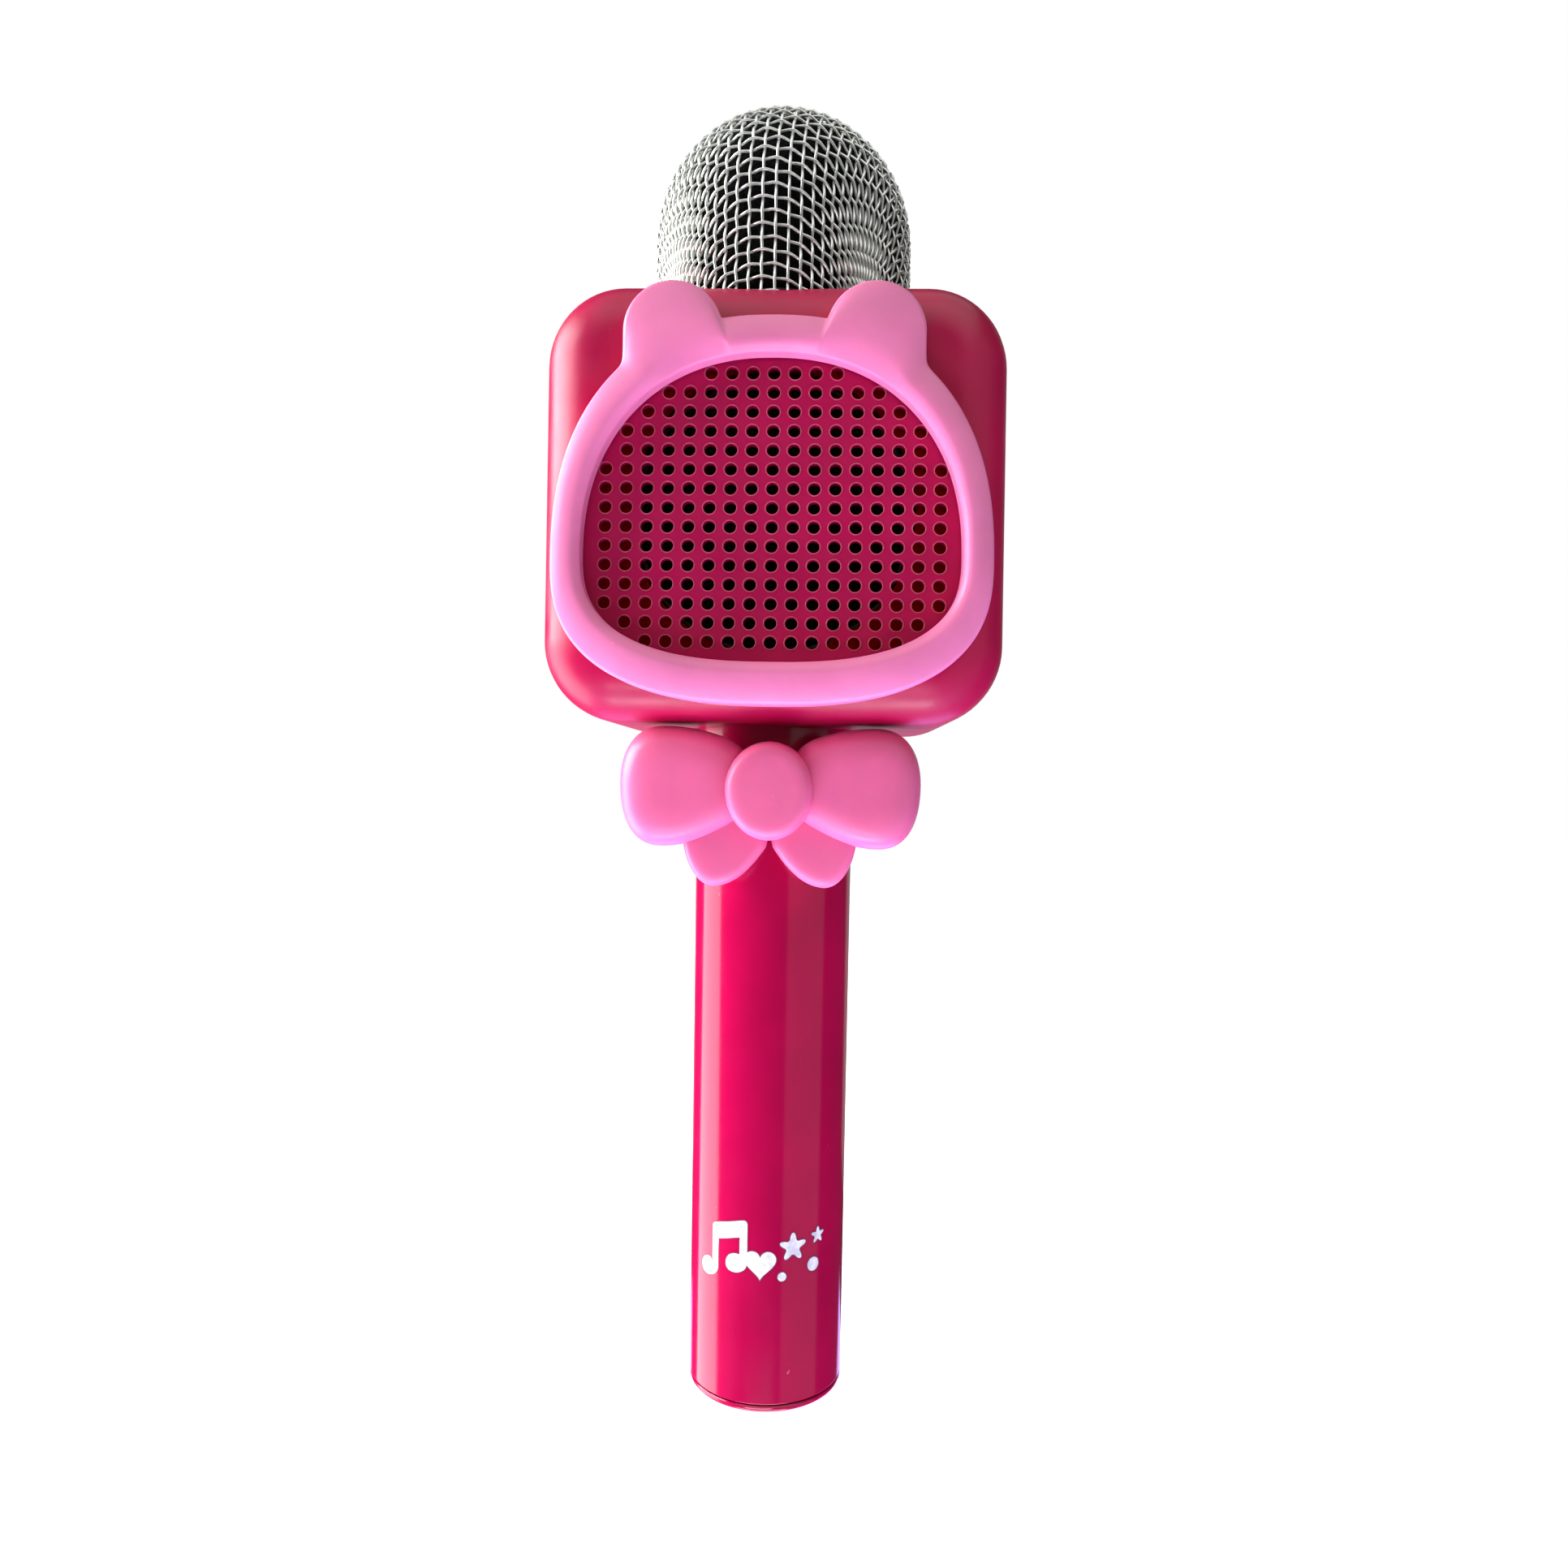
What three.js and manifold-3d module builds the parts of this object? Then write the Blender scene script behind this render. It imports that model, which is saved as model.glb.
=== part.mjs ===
// A toy karaoke microphone with a speaker in its square head, as an assembly of separate solids.
// Millimetres. +Z runs up the handle to the wire head, -Y is the front (the speaker side) and +X is
// to the right of someone looking at the front. The origin is the centre of the handle's end face.
import * as THREE from "three";
import { mergeVertices } from "three/addons/utils/BufferGeometryUtils.js";
import Module from "manifold-3d";

const wasm = await Module();
wasm.setup();

// ---- Driving dimensions ----
const LENGTH = 240; // end face to the top of the wire head
const GAP = 0.3; // clearance between neighbouring pieces
const WALL = 2.4; // casing wall
const FAR = 60; // beyond the object in X and Y, for cutters
const ABOVE = 220; // beyond the casing's top, for cutters

const BOX = { width: 80, depth: 58, bottom: 123.6, top: 199.3, corner: 14, edge: 10 };
const BOX_MIDDLE = (BOX.bottom + BOX.top) / 2;
const FRONT = -BOX.depth / 2;
const BACK = BOX.depth / 2;
const SEAM_Y = -16; // where the front and rear casings meet

const HANDLE = { bottomRadius: 14.45, topRadius: 15, wall: 2, top: 131 };
const FLANGE = { radius: 17.5, thickness: 2.6 }; // caught between the casings
const CAP = { height: 1.2, footRadius: 13.7, floor: 2.4, plugTop: 9, plugWall: 2 };
const CELL = { radius: 9.2, length: 65, bottom: 20, tipRadius: 3, tipHeight: 1.2 };
const CELL_COLLAR = { radius: 12.1, height: 8, inset: 6 };

const DOME = { radius: 24.45, thickness: 0.8, bottom: 193.5 };
const DOME_CENTRE = LENGTH - DOME.radius;
const HEAD_HOLE = 24.9; // radius of the opening in the head's top
const FOAM_DOME = { radius: 23.2, thickness: 3.6, bottom: 198.8 };
const COLLAR = { bore: 16.5, sleeveBore: 19.2, sleeve: 23.3, flange: 25.2, bottom: 190.3, top: 198.5 };
const CAPSULE = { radius: 4.85, bottom: 198.3, top: 205.4 };

const GRILLE = { pitchX: 3.5, pitchZ: 3.2, holeRadius: 1, topRow: 184.96, rows: 17, columns: 17 };
const GRILLE_FACE = FRONT + GAP;
const GRILLE_BACK = GRILLE_FACE + 1.6;
const GRILLE_MARGIN = 2; // how far the plate's seat reaches under the ring

// The speaker window and the ring are each two half superellipses that share a width.
const WINDOW = { z: 151.2, halfWidth: 31.5, up: 32.9, down: 17.9, powerUp: 2.21, powerDown: 2.62 };
const RIM = { z: 150, halfWidth: 36.55, up: 40.4, down: 23.7, powerUp: 2.33, powerDown: 2.57 };
const RING_FRONT = FRONT - 4;
const EAR = { x: 16.8, z: 187.9, radius: 8.2, foot: 176 };
const RING_PINS = [[-16.8, 186], [16.8, 186], [-12, 130.4], [12, 130.4]];
const PIN = { radius: 1.2, bore: 1.55, end: -25.2 };

const SPEAKER = { z: 159.3, opening: 24.2, radius: 26.6, padBack: -24.6 };

const BOW = { z: 112.3, front: -25, back: -13.5, seat: -22.4 };
const KNOT = { halfX: 7.6, halfZ: 8.45, front: -27.2, edge: 1.6 };
const BOW_PINS_Z = [107, 117.5];
const BOW_PIN = { radius: 1.5, bore: 1.9, end: -12.2 };

const BOARD = { left: -28, right: 33.5, bottom: 137.5, top: 185.4, front: 17, back: 18.6 };
const BOARD_SCREWS = [[-25, 182.4], [25, 182.4], [-25, 140.5], [25, 140.5]];
const TACT = { half: 3, bodyTop: 22.3, plungerTop: 23.3 };
const BUTTON = { foot: 24.4, footRadius: 2, flange: 25.4, face: 31.2, dish: 0.5, round: 0.7 };
const BUTTONS = {
  play: { x: 0, z: 164, radius: 6.5 },
  previous: { x: 15, z: 164, radius: 4.3 }, // +X is on the left for someone who looks at the back
  next: { x: -15, z: 164, radius: 4.3 },
  light: { x: 0, z: 177.5, radius: 4.3 },
  voice: { x: 0, z: 150.5, radius: 4.3 },
};
const SLIDER = { z: 140.5, travel: 4, knobWidth: 6, footWidth: 10, slotWidth: 10.6, slotHeight: 3.9 };
const LED = { x: 15, z: 141.5, radius: 1.5 };
const PANEL = { z: 160, halfWidth: 27, up: 26, down: 26, powerUp: 3, powerDown: 3 };
const PANEL_RECESS = 1;

const POST = { x: 30.5, z: 28.5, radius: 3.2, end: 20.7, bore: 1.45 };
const WELL = { radius: 2.9, seat: 24.2 }; // where a case screw's head sits
const SCREW = { head: 2.5, headHeight: 1.8, shank: 1.15, tip: 7.7 };

const USB = { z: 150, y: 15.45, width: 7.5, height: 2.5, depth: 7 };
const CARD = { z: 164, y: 15.9, width: 13, height: 1.5, depth: 12 };
const SOCKET_WALL = 0.4;

// ---- Materials ----
const plastic = (color, roughness = 0.3) =>
  new THREE.MeshStandardMaterial({ color, roughness, metalness: 0 });
const metal = (color, roughness = 0.3) =>
  new THREE.MeshStandardMaterial({ color, roughness, metalness: 1 });
const MAGENTA = plastic(0xc8104f, 0.25);
const PINK = plastic(0xee86bd, 0.35);
const BLACK = plastic(0x141414, 0.6);
const FOAM = plastic(0x0d0d0f, 1);
const STEEL = metal(0xc9ccc4, 0.3);
const ZINC = metal(0x9a9a98, 0.4);
const FIBREGLASS = plastic(0x1d5b34, 0.5);
const PAPER = plastic(0x1b1b1d, 0.9);
const LIGHT_PIPE = plastic(0xf4f4f8, 0.1);
const WRAP = plastic(0x2f6db3, 0.4);
const COPPER = metal(0xb46a3c, 0.35);
const RED_LEAD = plastic(0xb01818, 0.5);
const BLACK_LEAD = plastic(0x161616, 0.5);
const GREY_LEAD = plastic(0x8a8a8a, 0.5);

// ---- Solids ----
function solid(geometry) {
  const bare = geometry.index ? geometry.toNonIndexed() : geometry.clone();
  bare.deleteAttribute("normal");
  bare.deleteAttribute("uv");
  const merged = mergeVertices(bare, 1e-4);
  return new wasm.Manifold(
    new wasm.Mesh({
      numProp: 3,
      vertProperties: merged.attributes.position.array,
      triVerts: new Uint32Array(merged.index.array),
    }),
  );
}

function geometryOf(made) {
  const { numProp, numVert, vertProperties, triVerts } = made.getMesh();
  const position = new Float32Array(numVert * 3);
  for (let i = 0; i < numVert; i++) {
    position.set(vertProperties.subarray(i * numProp, i * numProp + 3), i * 3);
  }
  const geometry = new THREE.BufferGeometry();
  geometry.setAttribute("position", new THREE.BufferAttribute(position, 3));
  geometry.setIndex(new THREE.BufferAttribute(triVerts, 1));
  geometry.computeVertexNormals();
  return geometry;
}

const join = (first, ...others) => others.reduce((all, next) => all.add(next), first);
const cut = (first, ...others) => others.reduce((left, next) => left.subtract(next), first);

// A box between two corners.
function block(x0, y0, z0, x1, y1, z1) {
  const geometry = new THREE.BoxGeometry(x1 - x0, y1 - y0, z1 - z0);
  return solid(geometry.translate((x0 + x1) / 2, (y0 + y1) / 2, (z0 + z1) / 2));
}

// A rod along Y between two planes, centred on (x, z).
function rodY(x, z, radius, y0, y1, sides = 20) {
  const geometry = new THREE.CylinderGeometry(radius, radius, y1 - y0, sides);
  return solid(geometry.translate(x, (y0 + y1) / 2, z));
}

function rodZ(radius, z0, z1, sides = 40) {
  const geometry = new THREE.CylinderGeometry(radius, radius, z1 - z0, sides);
  return solid(geometry.rotateX(Math.PI / 2).translate(0, 0, (z0 + z1) / 2));
}

// A closed profile of [radius, distance along the axis] points, turned about Y or about Z.
function turnedY(profile, sides = 28) {
  const points = profile.map(([r, along]) => new THREE.Vector2(r, along));
  return solid(new THREE.LatheGeometry(points, sides));
}

function turnedZ(profile, sides = 36) {
  const points = profile.map(([r, along]) => new THREE.Vector2(r, along));
  return solid(new THREE.LatheGeometry(points, sides).rotateX(Math.PI / 2));
}

// A tube's profile between two heights.
const tubeProfile = (inner, outer, low, high) => [
  [inner, low],
  [outer, low],
  [outer, high],
  [inner, high],
  [inner, low],
];

// A flat outline in X and Z, given as a THREE.Shape, thickened from yFront to yBack.
function slab(shape, yFront, yBack, options = {}) {
  const settings = { depth: yBack - yFront, bevelEnabled: false, curveSegments: 10, ...options };
  const geometry = new THREE.ExtrudeGeometry(shape, settings);
  return solid(geometry.rotateX(Math.PI / 2).translate(0, yBack, 0));
}

// The same, with both faces' edges rounded over.
function pillow(shape, yFront, yBack, round) {
  return slab(shape, yFront + round, yBack - round, {
    bevelEnabled: true,
    bevelSegments: 2,
    bevelSize: round,
    bevelThickness: round,
    bevelOffset: -round,
    curveSegments: 5,
  });
}

// Two half superellipses, grown outwards by some margin.
function faceOutline(face, margin = 0, steps = 48) {
  const points = [];
  for (let i = 0; i < steps; i++) {
    const angle = (2 * Math.PI * i) / steps;
    const [c, s] = [Math.cos(angle), Math.sin(angle)];
    const half = s >= 0 ? face.up : -face.down;
    const power = 2 / (s >= 0 ? face.powerUp : face.powerDown);
    const x = Math.sign(c) * (face.halfWidth + margin) * Math.abs(c) ** power;
    const z = (half + Math.sign(half) * margin) * Math.abs(s) ** power;
    points.push(new THREE.Vector2(x, face.z + z));
  }
  return new THREE.Shape(points);
}

// The head's outline in X and Z, moved inwards by some inset, as a ring of points at depth y.
function boxRing(inset, y, cornerSteps) {
  const radius = BOX.corner - inset;
  const acrossX = BOX.width / 2 - BOX.corner;
  const acrossZ = (BOX.top - BOX.bottom) / 2 - BOX.corner;
  const ring = [];
  for (let corner = 0; corner < 4; corner++) {
    const signX = corner === 0 || corner === 3 ? 1 : -1;
    const signZ = corner < 2 ? 1 : -1;
    for (let i = 0; i <= cornerSteps; i++) {
      const angle = (Math.PI / 2) * (corner + i / cornerSteps);
      const x = signX * acrossX + radius * Math.cos(angle);
      const z = BOX_MIDDLE + signZ * acrossZ + radius * Math.sin(angle);
      ring.push([x, y, z]);
    }
  }
  return ring;
}

// The head's outer form, moved inwards by some inset: a stack of rounded rectangles.
function headForm(inset, edgeSteps = 4, cornerSteps = 5) {
  const edge = BOX.edge - inset;
  const half = BOX.depth / 2 - BOX.edge;
  const rings = [];
  for (const side of [-1, 1]) {
    for (let i = 0; i <= edgeSteps; i++) {
      const turn = (Math.PI / 2) * (side < 0 ? 1 - i / edgeSteps : i / edgeSteps);
      const y = side * (half + edge * Math.sin(turn));
      rings.push(boxRing(inset + edge * (1 - Math.cos(turn)), y, cornerSteps));
    }
  }
  return loft(rings);
}

// A closed body through a row of rings that have the same number of points, with flat ends.
function loft(rings) {
  const count = rings[0].length;
  const triangles = [];
  const middle = (ring) => [0, 1, 2].map((k) => ring.reduce((sum, p) => sum + p[k], 0) / count);
  const [start, end] = [rings[0], rings[rings.length - 1]];
  for (let i = 0; i < count; i++) {
    const next = (i + 1) % count;
    triangles.push(middle(start), start[i], start[next], middle(end), end[next], end[i]);
    for (let r = 0; r + 1 < rings.length; r++) {
      const [a, b, c, d] = [rings[r][i], rings[r][next], rings[r + 1][next], rings[r + 1][i]];
      triangles.push(a, d, c, a, c, b);
    }
  }
  const geometry = new THREE.BufferGeometry();
  const position = new Float32Array(triangles.flat());
  geometry.setAttribute("position", new THREE.BufferAttribute(position, 3));
  return solid(geometry);
}

// An insulated wire along a curve through a few points.
function wire(points, radius = 0.7) {
  const curve = new THREE.CatmullRomCurve3(points.map((p) => new THREE.Vector3(...p)));
  const section = new THREE.Shape();
  section.absarc(0, 0, radius, 0, 2 * Math.PI);
  const settings = { steps: 14, curveSegments: 4, bevelEnabled: false, extrudePath: curve };
  return solid(new THREE.ExtrudeGeometry(section, settings));
}

// ---- The scene graph ----
const microphone = new THREE.Group();

function group(x = 0, y = 0, z = 0) {
  const made = new THREE.Group();
  made.position.set(x, y, z);
  microphone.add(made);
  return made;
}

function add(parent, name, made, material, x = 0, z = 0) {
  const mesh = new THREE.Mesh(geometryOf(made), material);
  mesh.name = name;
  mesh.position.set(x, 0, z);
  parent.add(mesh);
}

// ---- Handle ----
// A drafted tube whose flange is caught inside the head, closed by an end cap, with a cell in it.
function addHandle() {
  const handle = group();
  const start = CAP.height + GAP;
  const inner = HANDLE.bottomRadius - HANDLE.wall;
  const flangeBottom = BOX.bottom + WALL + GAP;
  const flangeTop = flangeBottom + FLANGE.thickness;
  const tube = turnedZ([
    [inner, start],
    [HANDLE.bottomRadius, start],
    [HANDLE.topRadius, flangeBottom],
    [FLANGE.radius, flangeBottom],
    [FLANGE.radius, flangeTop],
    [HANDLE.topRadius, flangeTop],
    [HANDLE.topRadius, HANDLE.top],
    [HANDLE.topRadius - HANDLE.wall, HANDLE.top],
    [inner, start],
  ]);
  const pinHoles = BOW_PINS_Z.map((z) => rodY(0, z, BOW_PIN.bore, -18, -10, 12));
  add(handle, "handle_tube", cut(tube, ...pinHoles), MAGENTA);

  const plug = inner - GAP;
  const cap = turnedZ([
    [0, 0],
    [CAP.footRadius, 0],
    [HANDLE.bottomRadius - 0.2, 0.35],
    [HANDLE.bottomRadius, CAP.height],
    [plug, CAP.height],
    [plug, CAP.plugTop],
    [plug - CAP.plugWall, CAP.plugTop],
    [plug - CAP.plugWall, CAP.floor],
    [0, CAP.floor],
  ]);
  add(handle, "end_cap", cap, MAGENTA);

  const cellTop = CELL.bottom + CELL.length;
  const cell = turnedZ([
    [0, CELL.bottom],
    [CELL.radius, CELL.bottom],
    [CELL.radius, cellTop - CELL.tipHeight],
    [CELL.tipRadius, cellTop - CELL.tipHeight],
    [CELL.tipRadius, cellTop],
    [0, cellTop],
  ], 28);
  add(handle, "battery_cell", cell, WRAP);

  const collar = turnedZ(tubeProfile(CELL.radius + GAP, CELL_COLLAR.radius, 0, CELL_COLLAR.height), 28);
  const lowerCollar = CELL.bottom + CELL_COLLAR.inset;
  const upperCollar = cellTop - CELL_COLLAR.inset - CELL_COLLAR.height;
  add(handle, "battery_collar_lower", collar, FOAM, 0, lowerCollar);
  add(handle, "battery_collar_upper", collar, FOAM, 0, upperCollar);
}

// ---- Head casing ----
// Where the case screws run, as [x, z].
const postPlaces = [-1, 1].flatMap((sx) => [-1, 1].map((sz) => [sx * POST.x, BOX_MIDDLE + sz * POST.z]));

const keyHoles = (sides) =>
  Object.values(BUTTONS).map(({ x, z, radius }) => rodY(x, z, radius + GAP, 20, 40, sides));

// The slider's slot and the status light's hole, through the rear casing and the panel alike.
function smallOpenings() {
  const { z, slotWidth, slotHeight } = SLIDER;
  const slot = block(-slotWidth / 2, 20, z - slotHeight / 2, slotWidth / 2, 40, z + slotHeight / 2);
  return [slot, rodY(LED.x, LED.z, LED.radius + GAP, 20, 40, 14)];
}

function shellHalf(yFrom, yTo) {
  const walls = cut(headForm(0), headForm(WALL, 3, 4));
  const half = walls.intersect(block(-FAR, yFrom, 100, FAR, yTo, ABOVE));
  const headHole = rodZ(HEAD_HOLE, 190, 205);
  const handleHole = rodZ(HANDLE.topRadius + GAP, BOX.bottom - 5, BOX.bottom + 6);
  return cut(half, headHole, handleHole);
}

// Front casing: the seat of the grille, the speaker's opening and the four screw posts.
function addFrontShell(casing) {
  const seatEdge = faceOutline(WINDOW, GRILLE_MARGIN + 1.6);
  const pad = slab(seatEdge, FRONT + 1, SPEAKER.padBack).intersect(headForm(1));
  const posts = postPlaces.map(([x, z]) => rodY(x, z, POST.radius, FRONT + 2, POST.end, 16));
  const bores = postPlaces.map(([x, z]) => rodY(x, z, POST.bore, POST.end - 16, POST.end + 1, 12));
  const recess = slab(faceOutline(WINDOW, GRILLE_MARGIN), FRONT - 1, GRILLE_BACK + GAP);
  const opening = rodY(0, SPEAKER.z, SPEAKER.opening, -40, -20, 40);
  const pinHoles = RING_PINS.map(([x, z]) => rodY(x, z, PIN.bore, -40, -22, 12));
  const body = join(shellHalf(-40, SEAM_Y - GAP / 2), pad, ...posts);
  add(casing, "front_shell", cut(body, recess, opening, ...bores, ...pinHoles), MAGENTA);
}

// Rear casing: screw wells, the control panel's seat, key holes, the slider's slot and two side ports.
function addRearShell(casing) {
  const bossEnd = BACK - WALL / 2;
  const bosses = postPlaces.map(([x, z]) => rodY(x, z, 4.2, POST.end + GAP, bossEnd, 14));
  const boardBosses = BOARD_SCREWS.map(([x, z]) => rodY(x, z, 2.4, BOARD.back + GAP, bossEnd, 12));
  const wells = postPlaces.map(([x, z]) => rodY(x, z, WELL.radius, WELL.seat, BACK + 2, 16));
  const shanks = postPlaces.map(([x, z]) => rodY(x, z, POST.bore, POST.end - 1, BACK, 12));
  const boardBores = BOARD_SCREWS.map(([x, z]) => rodY(x, z, 1.15, BOARD.back, BOARD.back + 6, 10));
  const recess = slab(faceOutline(PANEL), BACK - PANEL_RECESS, BACK + 5);
  const ports = [USB, CARD].map(({ z, y, width, height }) => {
    const [halfZ, halfY] = [width / 2 + GAP, height / 2 + GAP];
    return block(30, y - halfY, z - halfZ, 50, y + halfY, z + halfZ);
  });
  const inside = headForm(0.6);
  const body = join(
    shellHalf(SEAM_Y + GAP / 2, 40),
    ...bosses.map((boss) => boss.intersect(inside)),
    ...boardBosses,
  );
  const cuts = [...wells, ...shanks, ...boardBores, ...keyHoles(20), ...smallOpenings(), recess, ...ports];
  add(casing, "rear_shell", cut(body, ...cuts), MAGENTA);
}

// Case screws, each with a cross recess, whose heads sit in the rear casing's wells.
function addCaseScrews(casing) {
  const seat = WELL.seat + GAP;
  const top = seat + SCREW.headHeight;
  const head = rodY(0, 0, SCREW.head, seat, top, 20);
  const shank = rodY(0, 0, SCREW.shank, SCREW.tip, seat + 0.5, 10);
  const slots = [[1.5, 0.3], [0.3, 1.5]].map(([w, h]) => block(-w, top - 0.9, -h, w, top + 1, h));
  const screw = cut(join(head, shank), ...slots);
  postPlaces.forEach(([x, z], i) => add(casing, "case_screw_" + (i + 1), screw, ZINC, x, z));
}

// ---- Speaker window ----
// The perforated plate. Holes are cut where the speaker's opening lies behind them.
function addGrille(window) {
  const plate = slab(faceOutline(WINDOW, GRILLE_MARGIN - GAP), GRILLE_FACE, GRILLE_BACK);
  const holes = [];
  for (let row = 0; row < GRILLE.rows; row++) {
    for (let column = 0; column < GRILLE.columns; column++) {
      const x = (column - (GRILLE.columns - 1) / 2) * GRILLE.pitchX;
      const z = GRILLE.topRow - row * GRILLE.pitchZ;
      if (Math.hypot(x, z - SPEAKER.z) < SPEAKER.opening - GRILLE.holeRadius / 2) {
        holes.push(rodY(x, z, GRILLE.holeRadius, GRILLE_FACE - 1, GRILLE_BACK + 1, 6));
      }
    }
  }
  add(window, "speaker_grille", cut(plate, wasm.Manifold.union(holes)), MAGENTA);
}

// The pink ring with two ears. Its back follows the head's rounded edges, and four pins hold it.
function addFaceRing(window) {
  const back = -22;
  const ears = [-1, 1].map((side) => {
    const disc = rodY(side * EAR.x, EAR.z, EAR.radius, RING_FRONT, back, 32);
    const left = side * EAR.x - EAR.radius;
    return join(disc, block(left, RING_FRONT, EAR.foot, left + 2 * EAR.radius, back, EAR.z));
  });
  const rim = join(slab(faceOutline(RIM), RING_FRONT, back), ...ears);
  const opening = slab(faceOutline(WINDOW), RING_FRONT - 1, back + 1);
  const overGrille = slab(faceOutline(WINDOW, GRILLE_MARGIN + GAP), FRONT, back);
  const ring = cut(rim, opening, overGrille, headForm(-GAP));
  const proud = ring.intersect(block(-FAR, -FAR, 100, FAR, FRONT + 4, ABOVE));
  const pins = RING_PINS.map(([x, z]) => rodY(x, z, PIN.radius, RING_FRONT + 1, PIN.end, 12));
  add(window, "face_ring", join(proud, ...pins), PINK);
}

// ---- Bow ----
// One half of the bow: a puffed loop and a pointed tail below it.
function bowHalf(side) {
  const at = (x, z) => [side * x, BOW.z + z];
  const loop = new THREE.Shape();
  loop.moveTo(...at(2, 6.5));
  loop.bezierCurveTo(...at(8, 9), ...at(14, 11), ...at(19, 10.6));
  loop.bezierCurveTo(...at(24, 10.2), ...at(26.2, 5.5), ...at(26.2, 0.5));
  loop.bezierCurveTo(...at(26.2, -5), ...at(24.5, -9.6), ...at(19, -10));
  loop.bezierCurveTo(...at(14, -10.2), ...at(8, -7.5), ...at(2, -5.5));
  loop.closePath();
  const tail = new THREE.Shape();
  tail.moveTo(...at(0.4, -5));
  tail.lineTo(...at(0.4, -9.8));
  tail.bezierCurveTo(...at(3, -14), ...at(7, -17.1), ...at(9.8, -17.1));
  tail.bezierCurveTo(...at(12.4, -17.1), ...at(14.3, -13), ...at(14.3, -9));
  tail.lineTo(...at(12, -4));
  tail.closePath();
  return join(pillow(loop, BOW.front, BOW.back, 2.6), pillow(tail, -20.6, -15.2, 1.2));
}

function knotOutline(margin) {
  const shape = new THREE.Shape();
  shape.absellipse(0, BOW.z, KNOT.halfX + margin, KNOT.halfZ + margin, 0, 2 * Math.PI);
  return shape;
}

function knotRing(inset, y, steps = 36) {
  return Array.from({ length: steps }, (_, i) => {
    const angle = (2 * Math.PI * i) / steps;
    const x = (KNOT.halfX - inset) * Math.cos(angle);
    return [x, y, BOW.z + (KNOT.halfZ - inset) * Math.sin(angle)];
  });
}

// A thick oval with a rounded front edge.
function knotForm(edgeSteps = 4) {
  const rings = [];
  for (let i = edgeSteps; i >= 0; i--) {
    const turn = (Math.PI / 2) * (i / edgeSteps);
    const inset = KNOT.edge * (1 - Math.cos(turn));
    rings.push(knotRing(inset, KNOT.front + KNOT.edge * (1 - Math.sin(turn))));
  }
  rings.push(knotRing(0, BOW.seat - GAP));
  return loft(rings);
}

// The bow sits on the handle's front, two pins in its back go through the tube, and the knot's peg
// goes into the bow.
function addBow() {
  const bowGroup = group();
  const pins = BOW_PINS_Z.map((z) => rodY(0, z, BOW_PIN.radius, -17, BOW_PIN.end, 12));
  const saddle = block(-9, -20, BOW.z - 8, 9, -15.4, BOW.z + 7);
  const knotSeat = slab(knotOutline(GAP), -FAR, BOW.seat);
  const handleSpace = turnedZ([
    [0, 60],
    [HANDLE.topRadius - 0.25 + GAP, 60],
    [HANDLE.topRadius + GAP, BOX.bottom],
    [0, BOX.bottom],
  ]);
  const form = cut(join(bowHalf(-1), bowHalf(1), saddle), knotSeat, handleSpace);
  const socket = rodY(0, BOW.z, 2, -24, -19, 12);
  add(bowGroup, "bow", cut(join(form, ...pins), socket), PINK);
  const peg = rodY(0, BOW.z, 1.7, -24, -19.6, 12);
  add(bowGroup, "bow_knot", join(knotForm(), peg), PINK);
}

// ---- Wire head ----
// A dome shell with a straight skirt, open below, as a closed profile.
function domeProfile(outer, inner, bottom, steps = 8) {
  const arc = (radius, reverse) =>
    Array.from({ length: steps + 1 }, (_, i) => {
      const angle = (Math.PI / 2) * (reverse ? 1 - i / steps : i / steps);
      const r = i === (reverse ? 0 : steps) ? 0 : radius * Math.cos(angle);
      return [r, DOME_CENTRE + radius * Math.sin(angle)];
    });
  return [[outer, bottom], ...arc(outer, false), ...arc(inner, true), [inner, bottom], [outer, bottom]];
}

// The dome, its foam, the collar that holds it and the capsule in its rubber cup.
function addWireHead() {
  const head = group();
  const dome = domeProfile(DOME.radius, DOME.radius - DOME.thickness, DOME.bottom);
  add(head, "mesh_grille", turnedZ(dome, 32), STEEL);
  const foam = domeProfile(FOAM_DOME.radius, FOAM_DOME.radius - FOAM_DOME.thickness, FOAM_DOME.bottom, 5);
  add(head, "foam_windscreen", turnedZ(foam, 24), FOAM);

  const ledge = COLLAR.bottom + 1.2;
  const flangeTop = DOME.bottom - GAP;
  const collar = turnedZ([
    [COLLAR.bore, COLLAR.bottom],
    [COLLAR.flange, COLLAR.bottom],
    [COLLAR.flange, flangeTop],
    [COLLAR.sleeve, flangeTop],
    [COLLAR.sleeve, COLLAR.top],
    [COLLAR.sleeveBore, COLLAR.top],
    [COLLAR.sleeveBore, ledge],
    [COLLAR.bore, ledge],
    [COLLAR.bore, COLLAR.bottom],
  ]);
  add(head, "mesh_collar", collar, BLACK);

  const cupBottom = ledge + GAP;
  const discTop = cupBottom + 1.5;
  const cupBore = CAPSULE.radius + GAP + 0.05;
  const cup = turnedZ([
    [1.8, cupBottom],
    [COLLAR.sleeveBore - 0.4, cupBottom],
    [COLLAR.sleeveBore - 0.4, discTop],
    [7.2, discTop],
    [6.6, CAPSULE.top - 0.4],
    [cupBore, CAPSULE.top - 0.4],
    [cupBore, CAPSULE.bottom - GAP],
    [1.8, CAPSULE.bottom - GAP],
    [1.8, cupBottom],
  ], 24);
  add(head, "capsule_holder", cup, BLACK);
  const { radius, bottom, top } = CAPSULE;
  add(head, "mic_capsule", turnedZ([[0, bottom], [radius, bottom], [radius, top], [0, top]], 24), ZINC);
}

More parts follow.
